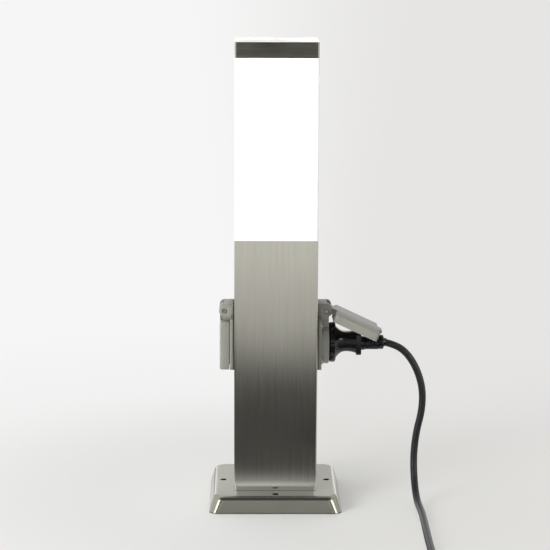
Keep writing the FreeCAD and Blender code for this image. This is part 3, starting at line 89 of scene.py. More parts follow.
def colour(hex_code):
    """An sRGB hex value as the linear colour that Blender works in."""
    channels = [int(hex_code[place:place + 2], 16) / 255 for place in (1, 3, 5)]
    linear = [c / 12.92 if c <= 0.04045 else ((c + 0.055) / 1.055) ** 2.4 for c in channels]
    return (*linear, 1.0)


def add_node(tree, kind, inputs=None, **settings):
    """Add a node, set its settings, and link or set its inputs by name or number."""
    node = tree.nodes.new(kind)
    for name, setting in settings.items():
        setattr(node, name, setting)
    for name, given in (inputs or {}).items():
        if isinstance(given, bpy.types.NodeSocket):
            tree.links.new(given, node.inputs[name])
        else:
            node.inputs[name].default_value = given
    return node


def empty_material(name):
    """A material with nothing in it yet, and its node tree."""
    material = bpy.data.materials.new(name)
    material.use_nodes = True
    material.node_tree.nodes.clear()
    return material, material.node_tree


def scenery_rays(tree):
    """1 where the camera, a mirror or a clear piece looks straight at the room."""
    light_path = add_node(tree, "ShaderNodeLightPath")
    seen_or_mirrored = add_node(tree, "ShaderNodeMath", {
        0: light_path.outputs["Is Camera Ray"], 1: light_path.outputs["Is Glossy Ray"]},
        operation="MAXIMUM")
    any_of_them = add_node(tree, "ShaderNodeMath", {
        0: seen_or_mirrored.outputs[0], 1: light_path.outputs["Is Transmission Ray"]},
        operation="MAXIMUM")
    return any_of_them.outputs[0]


def painted_shadow_to_right(tree, sideways, tone, shade):
    """A colour that turns from its tone to its shade from left to right, as a painted shadow."""
    to_right = add_node(tree, "ShaderNodeMapRange", {
        "Value": sideways, "From Min": SHADE_START, "From Max": SHADE_END},
        interpolation_type="SMOOTHSTEP")
    mixed = add_node(tree, "ShaderNodeMix", {
        "Factor": to_right.outputs[0], 6: colour(tone), 7: colour(shade)}, data_type="RGBA")
    return mixed.outputs[2]


floor_material, tree = empty_material("pale_studio_floor")
place = add_node(tree, "ShaderNodeTexCoord").outputs["Object"]
distance = add_node(tree, "ShaderNodeVectorMath", {0: place}, operation="LENGTH").outputs["Value"]
near_fade = add_node(tree, "ShaderNodeMapRange", {
    "Value": distance, "From Min": FADE_START, "From Max": FADE_END, "To Max": FADE_SHARE},
    interpolation_type="SMOOTHSTEP")
far_fade = add_node(tree, "ShaderNodeMapRange", {
    "Value": distance, "From Min": FAR_START, "From Max": FAR_END, "To Max": 1 - FADE_SHARE},
    interpolation_type="SMOOTHSTEP")
fade = add_node(tree, "ShaderNodeMath", {0: near_fade.outputs[0], 1: far_fade.outputs[0]},
                operation="ADD")
seen = add_node(tree, "ShaderNodeMath", {0: fade.outputs[0], 1: scenery_rays(tree)},
                operation="MULTIPLY")
apart = add_node(tree, "ShaderNodeSeparateXYZ", {0: place})
reach = add_node(tree, "ShaderNodeMath", {0: distance, 1: SLANT_SPREAD}, operation="ADD")
slant = add_node(tree, "ShaderNodeMath", {0: apart.outputs["X"], 1: reach.outputs[0]},
                 operation="DIVIDE")
close_by = add_node(tree, "ShaderNodeMapRange", {
    "Value": distance, "From Min": NEAR_START, "From Max": NEAR_FULL}, interpolation_type="SMOOTHSTEP")
# painted shadow: close to the object the glow takes the darker near tones
room_tone = add_node(tree, "ShaderNodeMix", {
    "Factor": close_by.outputs[0], 6: painted_shadow_to_right(tree, slant.outputs[0], ROOM_TONE, PAINTED_ROOM_SHADOW),
    7: painted_shadow_to_right(tree, slant.outputs[0], PAINTED_NEAR_SHADOW, PAINTED_NEAR_RIGHT_SHADOW)}, data_type="RGBA")
matt = add_node(tree, "ShaderNodeBsdfDiffuse", {"Color": colour(FLOOR_TONE)})
glow = add_node(tree, "ShaderNodeEmission", {"Color": room_tone.outputs[2]})
faded = add_node(tree, "ShaderNodeMixShader", {
    0: seen.outputs[0], 1: matt.outputs[0], 2: glow.outputs[0]})
add_node(tree, "ShaderNodeOutputMaterial", {"Surface": faded.outputs[0]})

floor_corners = [(-FLOOR_HALF, -FLOOR_HALF, 0), (FLOOR_HALF, -FLOOR_HALF, 0),
                 (FLOOR_HALF, FLOOR_HALF, 0), (-FLOOR_HALF, FLOOR_HALF, 0)]
floor_mesh = bpy.data.meshes.new("floor")
floor_mesh.from_pydata(floor_corners, [], [(0, 1, 2, 3)])
floor_mesh.materials.append(floor_material)
floor = bpy.data.objects.new("floor", floor_mesh)
floor.location.z = -FLOOR_DROP
scene.collection.objects.link(floor)


# Room: plain soft studio light, graded by its direction. It is stronger from the
# left and weaker from straight above. What looks straight at the room sees a
# plain pale wall instead, darkened to the right by a painted shadow.
LIGHT_FROM_LEFT = 1.27
LIGHT_FROM_RIGHT = 0.16
RIGHT_BEGINS = 0.6
LIGHT_FROM_LEVEL = 1.15
LIGHT_FROM_ABOVE = 0.55

world = bpy.data.worlds.new("studio_room")
scene.world = world
world.use_nodes = True
tree = world.node_tree
tree.nodes.clear()
direction = add_node(tree, "ShaderNodeTexCoord").outputs["Generated"]
toward = add_node(tree, "ShaderNodeSeparateXYZ", {0: direction}).outputs
from_side = add_node(tree, "ShaderNodeMapRange", {
    "Value": toward["X"], "From Min": -1.0, "From Max": RIGHT_BEGINS,
    "To Min": LIGHT_FROM_LEFT, "To Max": LIGHT_FROM_RIGHT})
from_top = add_node(tree, "ShaderNodeMapRange", {
    "Value": toward["Z"], "From Min": 0.0, "From Max": 1.0,
    "To Min": LIGHT_FROM_LEVEL, "To Max": LIGHT_FROM_ABOVE})
strength = add_node(tree, "ShaderNodeMath", {0: from_side.outputs[0], 1: from_top.outputs[0]},
                    operation="MULTIPLY")
room_light = add_node(tree, "ShaderNodeBackground", {
    "Color": colour("#ffffff"), "Strength": strength.outputs[0]})
# painted shadow: the wall seen straight on darkens to the right
wall = add_node(tree, "ShaderNodeBackground", {
    "Color": painted_shadow_to_right(tree, toward["X"], ROOM_TONE, PAINTED_ROOM_SHADOW), "Strength": 1.0})
either = add_node(tree, "ShaderNodeMixShader", {
    0: scenery_rays(tree), 1: room_light.outputs[0], 2: wall.outputs[0]})
add_node(tree, "ShaderNodeOutputWorld", {"Surface": either.outputs[0]})


# Lamps: three soft square lamps, the strongest at the left in front. Mirrors
# don't see them, because the cards below give the metal what it mirrors.
LAMP_AIM = (0, 0, 0.2)


def add_lamp(name, place, size, power):
    """A square lamp, size metres wide, that looks from its place at the post."""
    lamp_data = bpy.data.lights.new(name, "AREA")
    lamp_data.size = size
    lamp_data.energy = power
    lamp = bpy.data.objects.new(name, lamp_data)
    lamp.location = place
    lamp.rotation_euler = (Vector(LAMP_AIM) - Vector(place)).to_track_quat("-Z", "Y").to_euler()
    lamp.visible_glossy = False
    scene.collection.objects.link(lamp)


add_lamp("key_lamp", (-1.7, -1.6, 1.0), size=1.0, power=42)
add_lamp("fill_lamp", (1.6, -1.2, 1.2), size=1.2, power=2)
add_lamp("back_lamp", (0.2, 1.8, 1.6), size=1.2, power=12)


# Cards round the object, which only mirrors see. The steel post mirrors the one on
# the floor in its lower half, the cap and the foot's skirt mirror those in front
# and behind, and two bright window cards give glints. Tones are (metres, tone).
CARD_REACH = 3.2
CARD_GAP = 0.08
CARD_LIFT = 0.001
FLOOR_TONES = [(0.08, 0.90), (0.105, 0.70), (0.125, 0.44), (0.145, 0.20), (0.17, 0.10),
               (0.40, 0.085), (0.52, 0.08), (0.60, 0.14), (0.67, 0.33), (0.74, 0.50),
               (0.90, 0.66), (1.2, 0.82), (1.6, 0.98), (3.2, 1.10)]
BEND = 13.0
BEND_MIDDLE = 0.02
BEND_LIMIT = 0.01
WALL_HALF = 4.0
WALL_HIGH = 6.0
FRONT_TONES = [(0.0, 0.60), (0.04, 0.05), (0.55, 0.05), (0.68, 0.14), (0.86, 0.20), (0.95, 1.7),
               (1.06, 1.7), (1.16, 0.12), (6.0, 0.12)]
BACK_TONES = [(0.0, 1.4), (0.72, 1.4), (0.88, 0.64), (1.5, 0.64), (3.0, 0.9), (6.0, 0.9)]
ABOVE_TONES = [(5.9, 0.12), (6.1, 0.12)]
WINDOW_TONES = [(0.4, 3.4), (1.6, 3.4)]
WINDOW = [(-2.05, -1.25, 0.5), (-1.35, -1.95, 0.5), (-1.35, -1.95, 1.5), (-2.05, -1.25, 1.5)]


def add_card(name, corners, tones, bent=False):
    """A card whose tone goes by its height or, where its bands are bent, by the
    distance from the post, which counts as a little less to the sides."""
    mesh = bpy.data.meshes.new(name)
    mesh.from_pydata(corners, [], [list(range(len(corners)))])
    material, tree = empty_material(name)
    place = add_node(tree, "ShaderNodeTexCoord").outputs["Object"]
    apart = add_node(tree, "ShaderNodeSeparateXYZ", {0: place}).outputs
    along = apart["Z"]
    if bent:
        reach = add_node(tree, "ShaderNodeVectorMath", {0: place}, operation="LENGTH")
        aside = add_node(tree, "ShaderNodeMath", {0: apart["X"], 1: BEND_MIDDLE},
                         operation="SUBTRACT")
        square = add_node(tree, "ShaderNodeMath", {0: aside.outputs[0], 1: 2.0},
                          operation="POWER")
        held = add_node(tree, "ShaderNodeMath", {0: square.outputs[0], 1: BEND_LIMIT},
                        operation="MINIMUM")
        less = add_node(tree, "ShaderNodeMath", {0: held.outputs[0], 1: -BEND, 2: 1.0},
                        operation="MULTIPLY_ADD")
        along = add_node(tree, "ShaderNodeMath", {0: reach.outputs["Value"], 1: less.outputs[0]},
                         operation="MULTIPLY").outputs[0]
    low = tones[0][0]
    high = tones[-1][0]
    share = add_node(tree, "ShaderNodeMapRange", {
        "Value": along, "From Min": low, "From Max": high})
    ramp = add_node(tree, "ShaderNodeValToRGB", {"Fac": share.outputs[0]})
    marks = ramp.color_ramp.elements
    while len(marks) < len(tones):
        marks.new(0.5)
    for mark, (spot, tone) in zip(marks, tones):
        mark.position = (spot - low) / (high - low)
        mark.color = (tone, tone, tone, 1)
    lit = add_node(tree, "ShaderNodeEmission", {"Color": ramp.outputs["Color"]})
    add_node(tree, "ShaderNodeOutputMaterial", {"Surface": lit.outputs[0]})
    mesh.materials.append(material)
    card = bpy.data.objects.new(name, mesh)
    for ray in ("camera", "diffuse", "shadow", "transmission", "volume_scatter"):
        setattr(card, "visible_" + ray, False)
    scene.collection.objects.link(card)


# the floor's card lies in front and to the left, and leaves the far right free
floor_card = [(-CARD_REACH, -CARD_REACH), (CARD_REACH, -CARD_REACH), (CARD_REACH, -CARD_GAP),
              (-CARD_GAP, -CARD_GAP), (-CARD_GAP, CARD_REACH), (-CARD_REACH, CARD_REACH)]
wall_card = [(-WALL_HALF, 0), (WALL_HALF, 0), (WALL_HALF, WALL_HIGH), (-WALL_HALF, WALL_HIGH)]
above_card = [(-WALL_HALF, -CARD_REACH), (WALL_HALF, -CARD_REACH), (WALL_HALF, 0), (-WALL_HALF, 0)]
add_card("floor_card", [(x, y, CARD_LIFT) for x, y in floor_card], FLOOR_TONES, bent=True)
add_card("front_card", [(x, -CARD_REACH, z) for x, z in wall_card], FRONT_TONES)
add_card("back_card", [(x, CARD_REACH, z) for x, z in wall_card], BACK_TONES)
add_card("above_card", [(x, y, WALL_HIGH) for x, y in above_card], ABOVE_TONES)
add_card("window_card_left", WINDOW, WINDOW_TONES)
add_card("window_card_right", [(-x, y, z) for x, y, z in WINDOW], WINDOW_TONES)


# Lead: 1.8 m of round black rubber cable. It leaves the plug's boot on a short
# slope, drops to the floor and runs forward out of the picture, where the rest
# is wound up and tied. It is one curve from the plug to the connector.
LEAD = 7.0
EXIT_POINT = (107.74, 0.0, 155.12)
LEAD_POINTS = [
    (118.4, 0.0, 152.5), (129.2, -1.5, 144.6), (138.7, -3.5, 129.8), (144.6, -6.0, 110.5),
    (144.2, -8.0, 89.0), (138.6, -10.0, 67.5), (136.0, -13.0, 44.0), (136.5, -21.0, 20.0),
    (138.0, -39.0, 5.5), (140.0, -64.0, 3.5), (140.0, -96.0, 3.5), (139.3, -134.0, 3.5),
    (138.8, -174.0, 3.5), (139.0, -212.0, 3.5), (138.5, -248.0, 4.8),
]
COIL_X = 138.5
COIL_Y = -284.0
COIL_LOW = 4.8
COIL_LAYER = 7.5
COIL_RADIUS = 47.5
COIL_PITCH = 7.5
HALF_TURNS = 6
HALF_TURN_POINTS = 6
TAIL = 36.0

# the coil is half turns that draw in on the floor and wind out again one layer up
lead_route = [EXIT_POINT] + LEAD_POINTS
coil_radii = [COIL_RADIUS - turn * COIL_PITCH / 2 for turn in range(HALF_TURNS + 1)]
coil_radii += coil_radii[-2:0:-1]
spot_x = COIL_X
level = COIL_LOW
step = math.pi / HALF_TURN_POINTS
for turn, radius in enumerate(coil_radii):
    way = -1 if turn % 2 == 0 else 1
    middle_x = spot_x + way * radius
    reach = radius / math.cos(step / 2)
    climb = COIL_LAYER / HALF_TURN_POINTS if turn == HALF_TURNS else 0
    for point in range(HALF_TURN_POINTS):
        angle = (point + 0.5) * step
        level += climb
        lead_route.append((middle_x - way * reach * math.cos(angle),
                           COIL_Y + way * reach * math.sin(angle),
                           level - climb / 2))
    spot_x += way * 2 * radius
lead_route += [(spot_x, COIL_Y - TAIL / 2, level), (spot_x, COIL_Y - TAIL, level)]

lead_curve = bpy.data.curves.new("lead", "CURVE")
lead_curve.dimensions = "3D"
lead_curve.bevel_depth = LEAD / 2 * MM
lead_curve.bevel_resolution = 5
lead_curve.resolution_u = 8
lead_spline = lead_curve.splines.new("NURBS")
lead_spline.points.add(len(lead_route) - 1)
for point, (x, y, z) in zip(lead_spline.points, lead_route):
    point.co = (x * MM, y * MM, z * MM, 1)
lead_spline.order_u = 3
lead_spline.use_endpoint_u = True
lead = bpy.data.objects.new("lead", lead_curve)
scene.collection.objects.link(lead)

# The jacket is extruded chloroprene rubber: near black, with a soft sheen that
# varies in faint spots. They are drawn 2 mm wide so that they show.
SPOT = 2
lead_rubber, tree = empty_material("extruded_black_rubber")
place = add_node(tree, "ShaderNodeTexCoord").outputs["Object"]
spots = add_node(tree, "ShaderNodeTexNoise", {
    "Vector": place, "Scale": 1 / (SPOT * MM), "Detail": 3})
dents = add_node(tree, "ShaderNodeBump", {
    "Height": spots.outputs["Fac"], "Strength": 0.12, "Distance": 0.1 * MM})
sheen = add_node(tree, "ShaderNodeMapRange", {
    "Value": spots.outputs["Fac"], "To Min": 0.30, "To Max": 0.48})
jacket = add_node(tree, "ShaderNodeBsdfPrincipled", {
    "Base Color": colour("#1c1d1f"), "Roughness": sheen.outputs[0], "IOR": 1.5,
    "Normal": dents.outputs[0]})
add_node(tree, "ShaderNodeOutputMaterial", {"Surface": jacket.outputs[0]})
lead_curve.materials.append(lead_rubber)


# Foot: a pan pressed from 1.5 mm stainless sheet, with four screw holes in its
# flat top and a flared skirt. Fine brushed all over, and welded to the post. The
# lines are 0.1 mm apart on the real sheet and are drawn 0.6 mm apart.
CLOUD = 60
SEAM_SHADE_TONE = "#3a3834"
SEAM_SHADE_FULL = 0.6
SEAM_SHADE_GONE = 0.3
REFLECTION_TONE = "#f7f6f1"
FLAT_START = 0.9
FLAT_FULL = 0.99


def brushed_sheet(name, tone, shade, grain, roughness, turned=0.0, stretch=0.55,
                  seam=0.0, reflection_band=0.0, top=None):
    """Brushed metal: fine lines, grain millimetres long on each axis, vary tone and gloss.
    Painted shade darkens a thin seam below the height given in mm, and a painted
    reflection makes the given millimetres above it bright. A top that is trodden and
    wiped dull is given by its tone, its roughness and its share of mirror."""
    material, tree = empty_material(name)
    place = add_node(tree, "ShaderNodeTexCoord").outputs["Object"]
    drawn = add_node(tree, "ShaderNodeMapping", {
        "Vector": place, "Scale": [1 / (size * MM) for size in grain]})
    lines = add_node(tree, "ShaderNodeTexNoise", {
        "Vector": drawn.outputs[0], "Scale": 1.0, "Detail": 5.0, "Roughness": 0.65}).outputs["Fac"]
    clouds = add_node(tree, "ShaderNodeTexNoise", {
        "Vector": place, "Scale": 1 / (CLOUD * MM), "Detail": 2.0})
    worn = add_node(tree, "ShaderNodeMath", {0: lines, 1: clouds.outputs["Fac"]},
                    operation="MULTIPLY")
    hue = add_node(tree, "ShaderNodeMix", {"Factor": lines, 6: colour(shade), 7: colour(tone)},
                   data_type="RGBA")
    height = add_node(tree, "ShaderNodeSeparateXYZ", {0: place}).outputs["Z"]
    # painted reflection: the band above the seam is painted bright
    reflection_share = add_node(tree, "ShaderNodeMapRange", {
        "Value": height, "From Min": (seam + reflection_band) * MM, "From Max": (seam + reflection_band / 4) * MM,
        "To Max": 1.0 if reflection_band else 0.0})
    with_reflection = add_node(tree, "ShaderNodeMix", {
        "Factor": reflection_share.outputs[0], 6: hue.outputs[2], 7: colour(REFLECTION_TONE)}, data_type="RGBA")
    # painted shade: the sheet is darkened below the seam's height
    unshaded_share = add_node(tree, "ShaderNodeMapRange", {
        "Value": height, "From Min": (seam - SEAM_SHADE_FULL) * MM, "From Max": (seam + SEAM_SHADE_GONE) * MM})
    seam_shaded = add_node(tree, "ShaderNodeMix", {
        "Factor": unshaded_share.outputs[0], 6: colour(SEAM_SHADE_TONE), 7: with_reflection.outputs[2]}, data_type="RGBA")
    gloss = add_node(tree, "ShaderNodeMapRange", {
        "Value": worn.outputs[0], "From Min": 0.1, "From Max": 0.4,
        "To Min": roughness - 0.04, "To Max": roughness + 0.05})
    scratches = add_node(tree, "ShaderNodeBump", {
        "Height": lines, "Strength": 0.10, "Distance": 0.02 * MM})
    across = add_node(tree, "ShaderNodeTangent", direction_type="RADIAL", axis="Z")
    steel = add_node(tree, "ShaderNodeBsdfPrincipled", {
        "Base Color": seam_shaded.outputs[2], "Metallic": 1.0, "Roughness": gloss.outputs[0],
        "Anisotropic": stretch, "Anisotropic Rotation": turned, "Tangent": across.outputs[0],
        "Normal": scratches.outputs[0]})
    if top:
        top_tone, top_roughness, mirror_share = top
        facing = add_node(tree, "ShaderNodeNewGeometry").outputs["True Normal"]
        looks_up = add_node(tree, "ShaderNodeSeparateXYZ", {0: facing}).outputs["Z"]
        flat = add_node(tree, "ShaderNodeMapRange", {
            "Value": looks_up, "From Min": FLAT_START, "From Max": FLAT_FULL})
        dulled = add_node(tree, "ShaderNodeMix", {
            "Factor": flat.outputs[0], 2: gloss.outputs[0], 3: top_roughness})
        mirrored = add_node(tree, "ShaderNodeMix", {
            "Factor": flat.outputs[0], 2: 1.0, 3: mirror_share})
        shown = add_node(tree, "ShaderNodeMix", {
            "Factor": flat.outputs[0], 6: seam_shaded.outputs[2], 7: colour(top_tone)},
            data_type="RGBA")
        tree.links.new(shown.outputs[2], steel.inputs["Base Color"])
        tree.links.new(dulled.outputs[0], steel.inputs["Roughness"])
        tree.links.new(mirrored.outputs[0], steel.inputs["Metallic"])
    add_node(tree, "ShaderNodeOutputMaterial", {"Surface": steel.outputs[0]})
    return material


def finish_nodes(material, *names):
    """Give CAD nodes a better material in their own slots."""
    for name in names:
        for slot in nodes[name].material_slots:
            slot.material = material


# the foot's lowest 0.7 mm is darkened with painted shade where it meets the floor
foot_steel = brushed_sheet("fine_brushed_stainless_pan", "#aeaca0", "#9b998d",
                           grain=(40, 0.6, 0.6), roughness=0.16, turned=0.25, seam=0.7,
                           top=("#aba99e", 0.30, 0.50))
finish_nodes(foot_steel, "foot_flange")


# Spacer bushes: zinc plated steel tube ends that carry the ground screws under
# the pan. They are loose, cut square and barrel plated, so a little cloudy.
PIT = 0.4


def plated_steel(name, tone, shade, patch, roughness):
    """Plated or turned metal: soft clouds, patch millimetres wide, and tiny pits."""
    material, tree = empty_material(name)
    place = add_node(tree, "ShaderNodeTexCoord").outputs["Object"]
    clouds = add_node(tree, "ShaderNodeTexNoise", {
        "Vector": place, "Scale": 1 / (patch * MM), "Detail": 4.0})
    pits = add_node(tree, "ShaderNodeTexNoise", {
        "Vector": place, "Scale": 1 / (PIT * MM), "Detail": 2.0})
    hue = add_node(tree, "ShaderNodeMix", {
        "Factor": clouds.outputs["Fac"], 6: colour(shade), 7: colour(tone)}, data_type="RGBA")
    gloss = add_node(tree, "ShaderNodeMapRange", {
        "Value": clouds.outputs["Fac"], "To Min": roughness - 0.1, "To Max": roughness + 0.1})
    dents = add_node(tree, "ShaderNodeBump", {
        "Height": pits.outputs["Fac"], "Strength": 0.1, "Distance": 0.02 * MM})
    metal = add_node(tree, "ShaderNodeBsdfPrincipled", {
        "Base Color": hue.outputs[2], "Metallic": 1.0, "Roughness": gloss.outputs[0],
        "Normal": dents.outputs[0]})
    add_node(tree, "ShaderNodeOutputMaterial", {"Surface": metal.outputs[0]})
    return material


# painted shade: the zinc's tone is set dark, as the bushes sit deep in the pan's holes
shaded_bush_zinc = plated_steel("zinc_plated_steel_tube", "#505255", "#3b3d40", patch=3.0, roughness=0.6)
finish_nodes(shaded_bush_zinc, "anchor_bushes")


# Cable grommet: a soft black rubber ring that snaps into the pan's middle and
# guards the supply cable. Moulded, matt, with a little chalky bloom.
BLOOM_SPOT = 4
PEBBLE = 0.5


def soft_rubber(name, tone, bloom, roughness):
    """Matt rubber: near black, with paler bloom in soft spots and a fine pebble."""
    material, tree = empty_material(name)
    place = add_node(tree, "ShaderNodeTexCoord").outputs["Object"]
    spots = add_node(tree, "ShaderNodeTexNoise", {
        "Vector": place, "Scale": 1 / (BLOOM_SPOT * MM), "Detail": 4.0})
    pebble = add_node(tree, "ShaderNodeTexNoise", {
        "Vector": place, "Scale": 1 / (PEBBLE * MM), "Detail": 2.0})
    hue = add_node(tree, "ShaderNodeMix", {
        "Factor": spots.outputs["Fac"], 6: colour(tone), 7: colour(bloom)}, data_type="RGBA")
    dents = add_node(tree, "ShaderNodeBump", {
        "Height": pebble.outputs["Fac"], "Strength": 0.3, "Distance": 0.05 * MM})
    rubber = add_node(tree, "ShaderNodeBsdfPrincipled", {
        "Base Color": hue.outputs[2], "Roughness": roughness, "IOR": 1.52,
        "Normal": dents.outputs[0]})
    add_node(tree, "ShaderNodeOutputMaterial", {"Surface": rubber.outputs[0]})
    return material


grommet_rubber = soft_rubber("moulded_grommet_rubber", "#191919", "#2b2b2a", roughness=0.72)
finish_nodes(grommet_rubber, "cable_grommet")


# Post: a square stainless tube with 1.5 mm walls, brushed along its length. Its
# faces mirror the room softly, in upright streaks drawn 0.7 mm apart. Painted
# shade darkens it at the weld, and a painted reflection makes it bright for 10 mm
# above it.
post_steel = brushed_sheet("long_brushed_stainless_tube", "#d5d3c7", "#afada2",
                           grain=(0.7, 0.7, 70), roughness=0.19, stretch=0.75, seam=16.5,
                           reflection_band=10.0)
finish_nodes(post_steel, "post_tube")


# Terminal and lamp plates: galvanised sheet. One lies flat inside the back wall and
# carries the terminal block, the other is a tray that closes the post's top. The
# zinc has the usual crystal flakes, about 6 mm across.
FLAKE = 6
terminal_zinc, tree = empty_material("galvanised_sheet")
place = add_node(tree, "ShaderNodeTexCoord").outputs["Object"]
flakes = add_node(tree, "ShaderNodeTexVoronoi", {"Vector": place, "Scale": 1 / (FLAKE * MM)})
flake_tone = add_node(tree, "ShaderNodeSeparateColor", {0: flakes.outputs["Color"]}).outputs[0]
hue = add_node(tree, "ShaderNodeMix", {
    "Factor": flake_tone, 6: colour("#9fa3a7"), 7: colour("#c3c6c8")}, data_type="RGBA")
gloss = add_node(tree, "ShaderNodeMapRange", {"Value": flake_tone, "To Min": 0.32, "To Max": 0.52})
zinc = add_node(tree, "ShaderNodeBsdfPrincipled", {
    "Base Color": hue.outputs[2], "Metallic": 1.0, "Roughness": gloss.outputs[0]})
add_node(tree, "ShaderNodeOutputMaterial", {"Surface": zinc.outputs[0]})
finish_nodes(terminal_zinc, "terminal_plate", "lamp_plate")


# Terminal block: five poles in one moulding of cream polyamide, with a screw in
# each well. Slightly waxy, with a spark-eroded surface whose grain is drawn 0.6 mm
# wide, coarser than the real one, so that it shows.
FLOW = 22
GRAIN_SHARE = 0.35
CORNER_REACH = 5
CORNER_SHADE_TONE = 0.45


def moulded_plastic(name, tone, shade, grain, roughness, dent=0.03, gloss_spread=0.05):
    """Moulded plastic: soft changes of tone as it flowed, and a surface grain in mm.
    Painted shade darkens the corners and gaps, found by an occlusion test."""
    material, tree = empty_material(name)
    place = add_node(tree, "ShaderNodeTexCoord").outputs["Object"]
    flow = add_node(tree, "ShaderNodeTexNoise", {
        "Vector": place, "Scale": 1 / (FLOW * MM), "Detail": 3.0})
    fine = add_node(tree, "ShaderNodeTexNoise", {
        "Vector": place, "Scale": 1 / (grain * MM), "Detail": 3.0})
    both = add_node(tree, "ShaderNodeMix", {
        "Factor": GRAIN_SHARE, 2: flow.outputs["Fac"], 3: fine.outputs["Fac"]})
    hue = add_node(tree, "ShaderNodeMix", {
        "Factor": both.outputs[0], 6: colour(shade), 7: colour(tone)}, data_type="RGBA")
    # painted shade: the colour is darkened where other surfaces close the corner in
    corner = add_node(tree, "ShaderNodeAmbientOcclusion", {"Distance": CORNER_REACH * MM}, samples=8)
    painted_corner_shade = add_node(tree, "ShaderNodeMapRange", {
        "Value": corner.outputs["AO"], "From Min": 0.35, "From Max": 0.95,
        "To Min": CORNER_SHADE_TONE, "To Max": 1.0})
    shown = add_node(tree, "ShaderNodeVectorMath", {0: hue.outputs[2], 1: painted_corner_shade.outputs[0]},
                     operation="MULTIPLY")
    gloss = add_node(tree, "ShaderNodeMapRange", {
        "Value": fine.outputs["Fac"], "To Min": roughness - gloss_spread,
        "To Max": roughness + gloss_spread})
    dents = add_node(tree, "ShaderNodeBump", {
        "Height": fine.outputs["Fac"], "Strength": 0.25, "Distance": dent * MM})
    plastic = add_node(tree, "ShaderNodeBsdfPrincipled", {
        "Base Color": shown.outputs[0], "Roughness": gloss.outputs[0], "IOR": 1.52,
        "Normal": dents.outputs[0]})
    add_node(tree, "ShaderNodeOutputMaterial", {"Surface": plastic.outputs[0]})
    return material


SHARP_EDGE = 35
MOULDED_EDGE = 32.0
SAME_POINT = 0.002
SAME_FACE = 0.4


def plain_mesh(piece):
    """Turn a piece with its modifiers into a plain mesh, smooth but for its sharp edges."""
    bpy.context.view_layer.update()
    ready = piece.evaluated_get(bpy.context.evaluated_depsgraph_get())
    mesh = bpy.data.meshes.new_from_object(ready)
    mesh.name = piece.name
    piece.modifiers.clear()
    piece.data = mesh
    mesh.polygons.foreach_set("use_smooth", [True] * len(mesh.polygons))
    mesh.set_sharp_from_angle(angle=math.radians(SHARP_EDGE))
    return piece


def softened_copy(name, node_name, width):
    """A copy of a CAD node with its sharp edges rounded, width mm wide, as a mould does."""
    mesh = nodes[node_name].data.copy()
    mesh.name = name
    shape = bmesh.new()
    shape.from_mesh(mesh)
    bmesh.ops.remove_doubles(shape, verts=shape.verts, dist=SAME_POINT * MM)
    bmesh.ops.dissolve_limit(shape, angle_limit=math.radians(SAME_FACE), verts=shape.verts,
                             edges=shape.edges)
    shape.to_mesh(mesh)
    shape.free()
    piece = bpy.data.objects.new(name, mesh)
    scene.collection.objects.link(piece)
    rounding = piece.modifiers.new("rounding", "BEVEL")
    rounding.width = width * MM
    rounding.segments = 2
    rounding.limit_method = "ANGLE"
    rounding.angle_limit = math.radians(MOULDED_EDGE)
    rounding.use_clamp_overlap = True
    return plain_mesh(piece)


def take_over(piece, material, body, slot, *replaced):
    """Give a finished piece its material, its body and the nodes that it stands for."""
    piece.data.materials.clear()
    piece.data.materials.append(material)
    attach(piece, body)
    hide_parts(*replaced)


block_polyamide = moulded_plastic("moulded_cream_polyamide", "#e3dfd3", "#d5d0c2",
                                  grain=0.6, roughness=0.48)
terminal_block = softened_copy("terminal_block_body", "terminal_block", width=0.35)
take_over(terminal_block, block_polyamide, "bollard", "terminal_block", "terminal_block")


# Diffuser: a square opal acrylic tube with 3 mm walls, extruded, so faintly
# streaked along its length. It scatters light inside its wall and looks evenly
# white, which a little light of its own stands for here.
STREAK_WIDE = 6
STREAK_LONG = 120
OPAL_LIGHT = 0.22
opal_acrylic, tree = empty_material("extruded_opal_acrylic")
place = add_node(tree, "ShaderNodeTexCoord").outputs["Object"]
drawn = add_node(tree, "ShaderNodeMapping", {
    "Vector": place,
    "Scale": [1 / (size * MM) for size in (STREAK_WIDE, STREAK_WIDE, STREAK_LONG)]})
streaks = add_node(tree, "ShaderNodeTexNoise", {
    "Vector": drawn.outputs[0], "Scale": 1.0, "Detail": 2.0})
hue = add_node(tree, "ShaderNodeMix", {
    "Factor": streaks.outputs["Fac"], 6: colour("#fbfbfa"), 7: colour("#fefefe")}, data_type="RGBA")
gloss = add_node(tree, "ShaderNodeMapRange", {
    "Value": streaks.outputs["Fac"], "To Min": 0.22, "To Max": 0.32})
acrylic = add_node(tree, "ShaderNodeBsdfPrincipled", {
    "Base Color": hue.outputs[2], "Roughness": gloss.outputs[0], "IOR": 1.49,
    "Emission Strength": OPAL_LIGHT, "Emission Color": colour("#ffffff")})
add_node(tree, "ShaderNodeOutputMaterial", {"Surface": acrylic.outputs[0]})
finish_nodes(opal_acrylic, "diffuser")


# Seals and turned pieces: strips of closed-cell foam under the diffuser and behind
# the outlets, cut from matt black sheet, and the diffuser's screws and the hinge
# pins, turned from stainless bar.
foam_rubber = soft_rubber("closed_cell_seal_foam", "#2a2a29", "#3a3a37", roughness=0.85)
screw_steel = plated_steel("turned_stainless_steel", "#c4c2bd", "#a9a7a1", patch=2.0, roughness=0.30)
finish_nodes(foam_rubber, "diffuser_seal", "outlet_seal_left", "outlet_seal_right")
finish_nodes(screw_steel, "diffuser_screws", "hinge_pin_left", "hinge_pin_right")


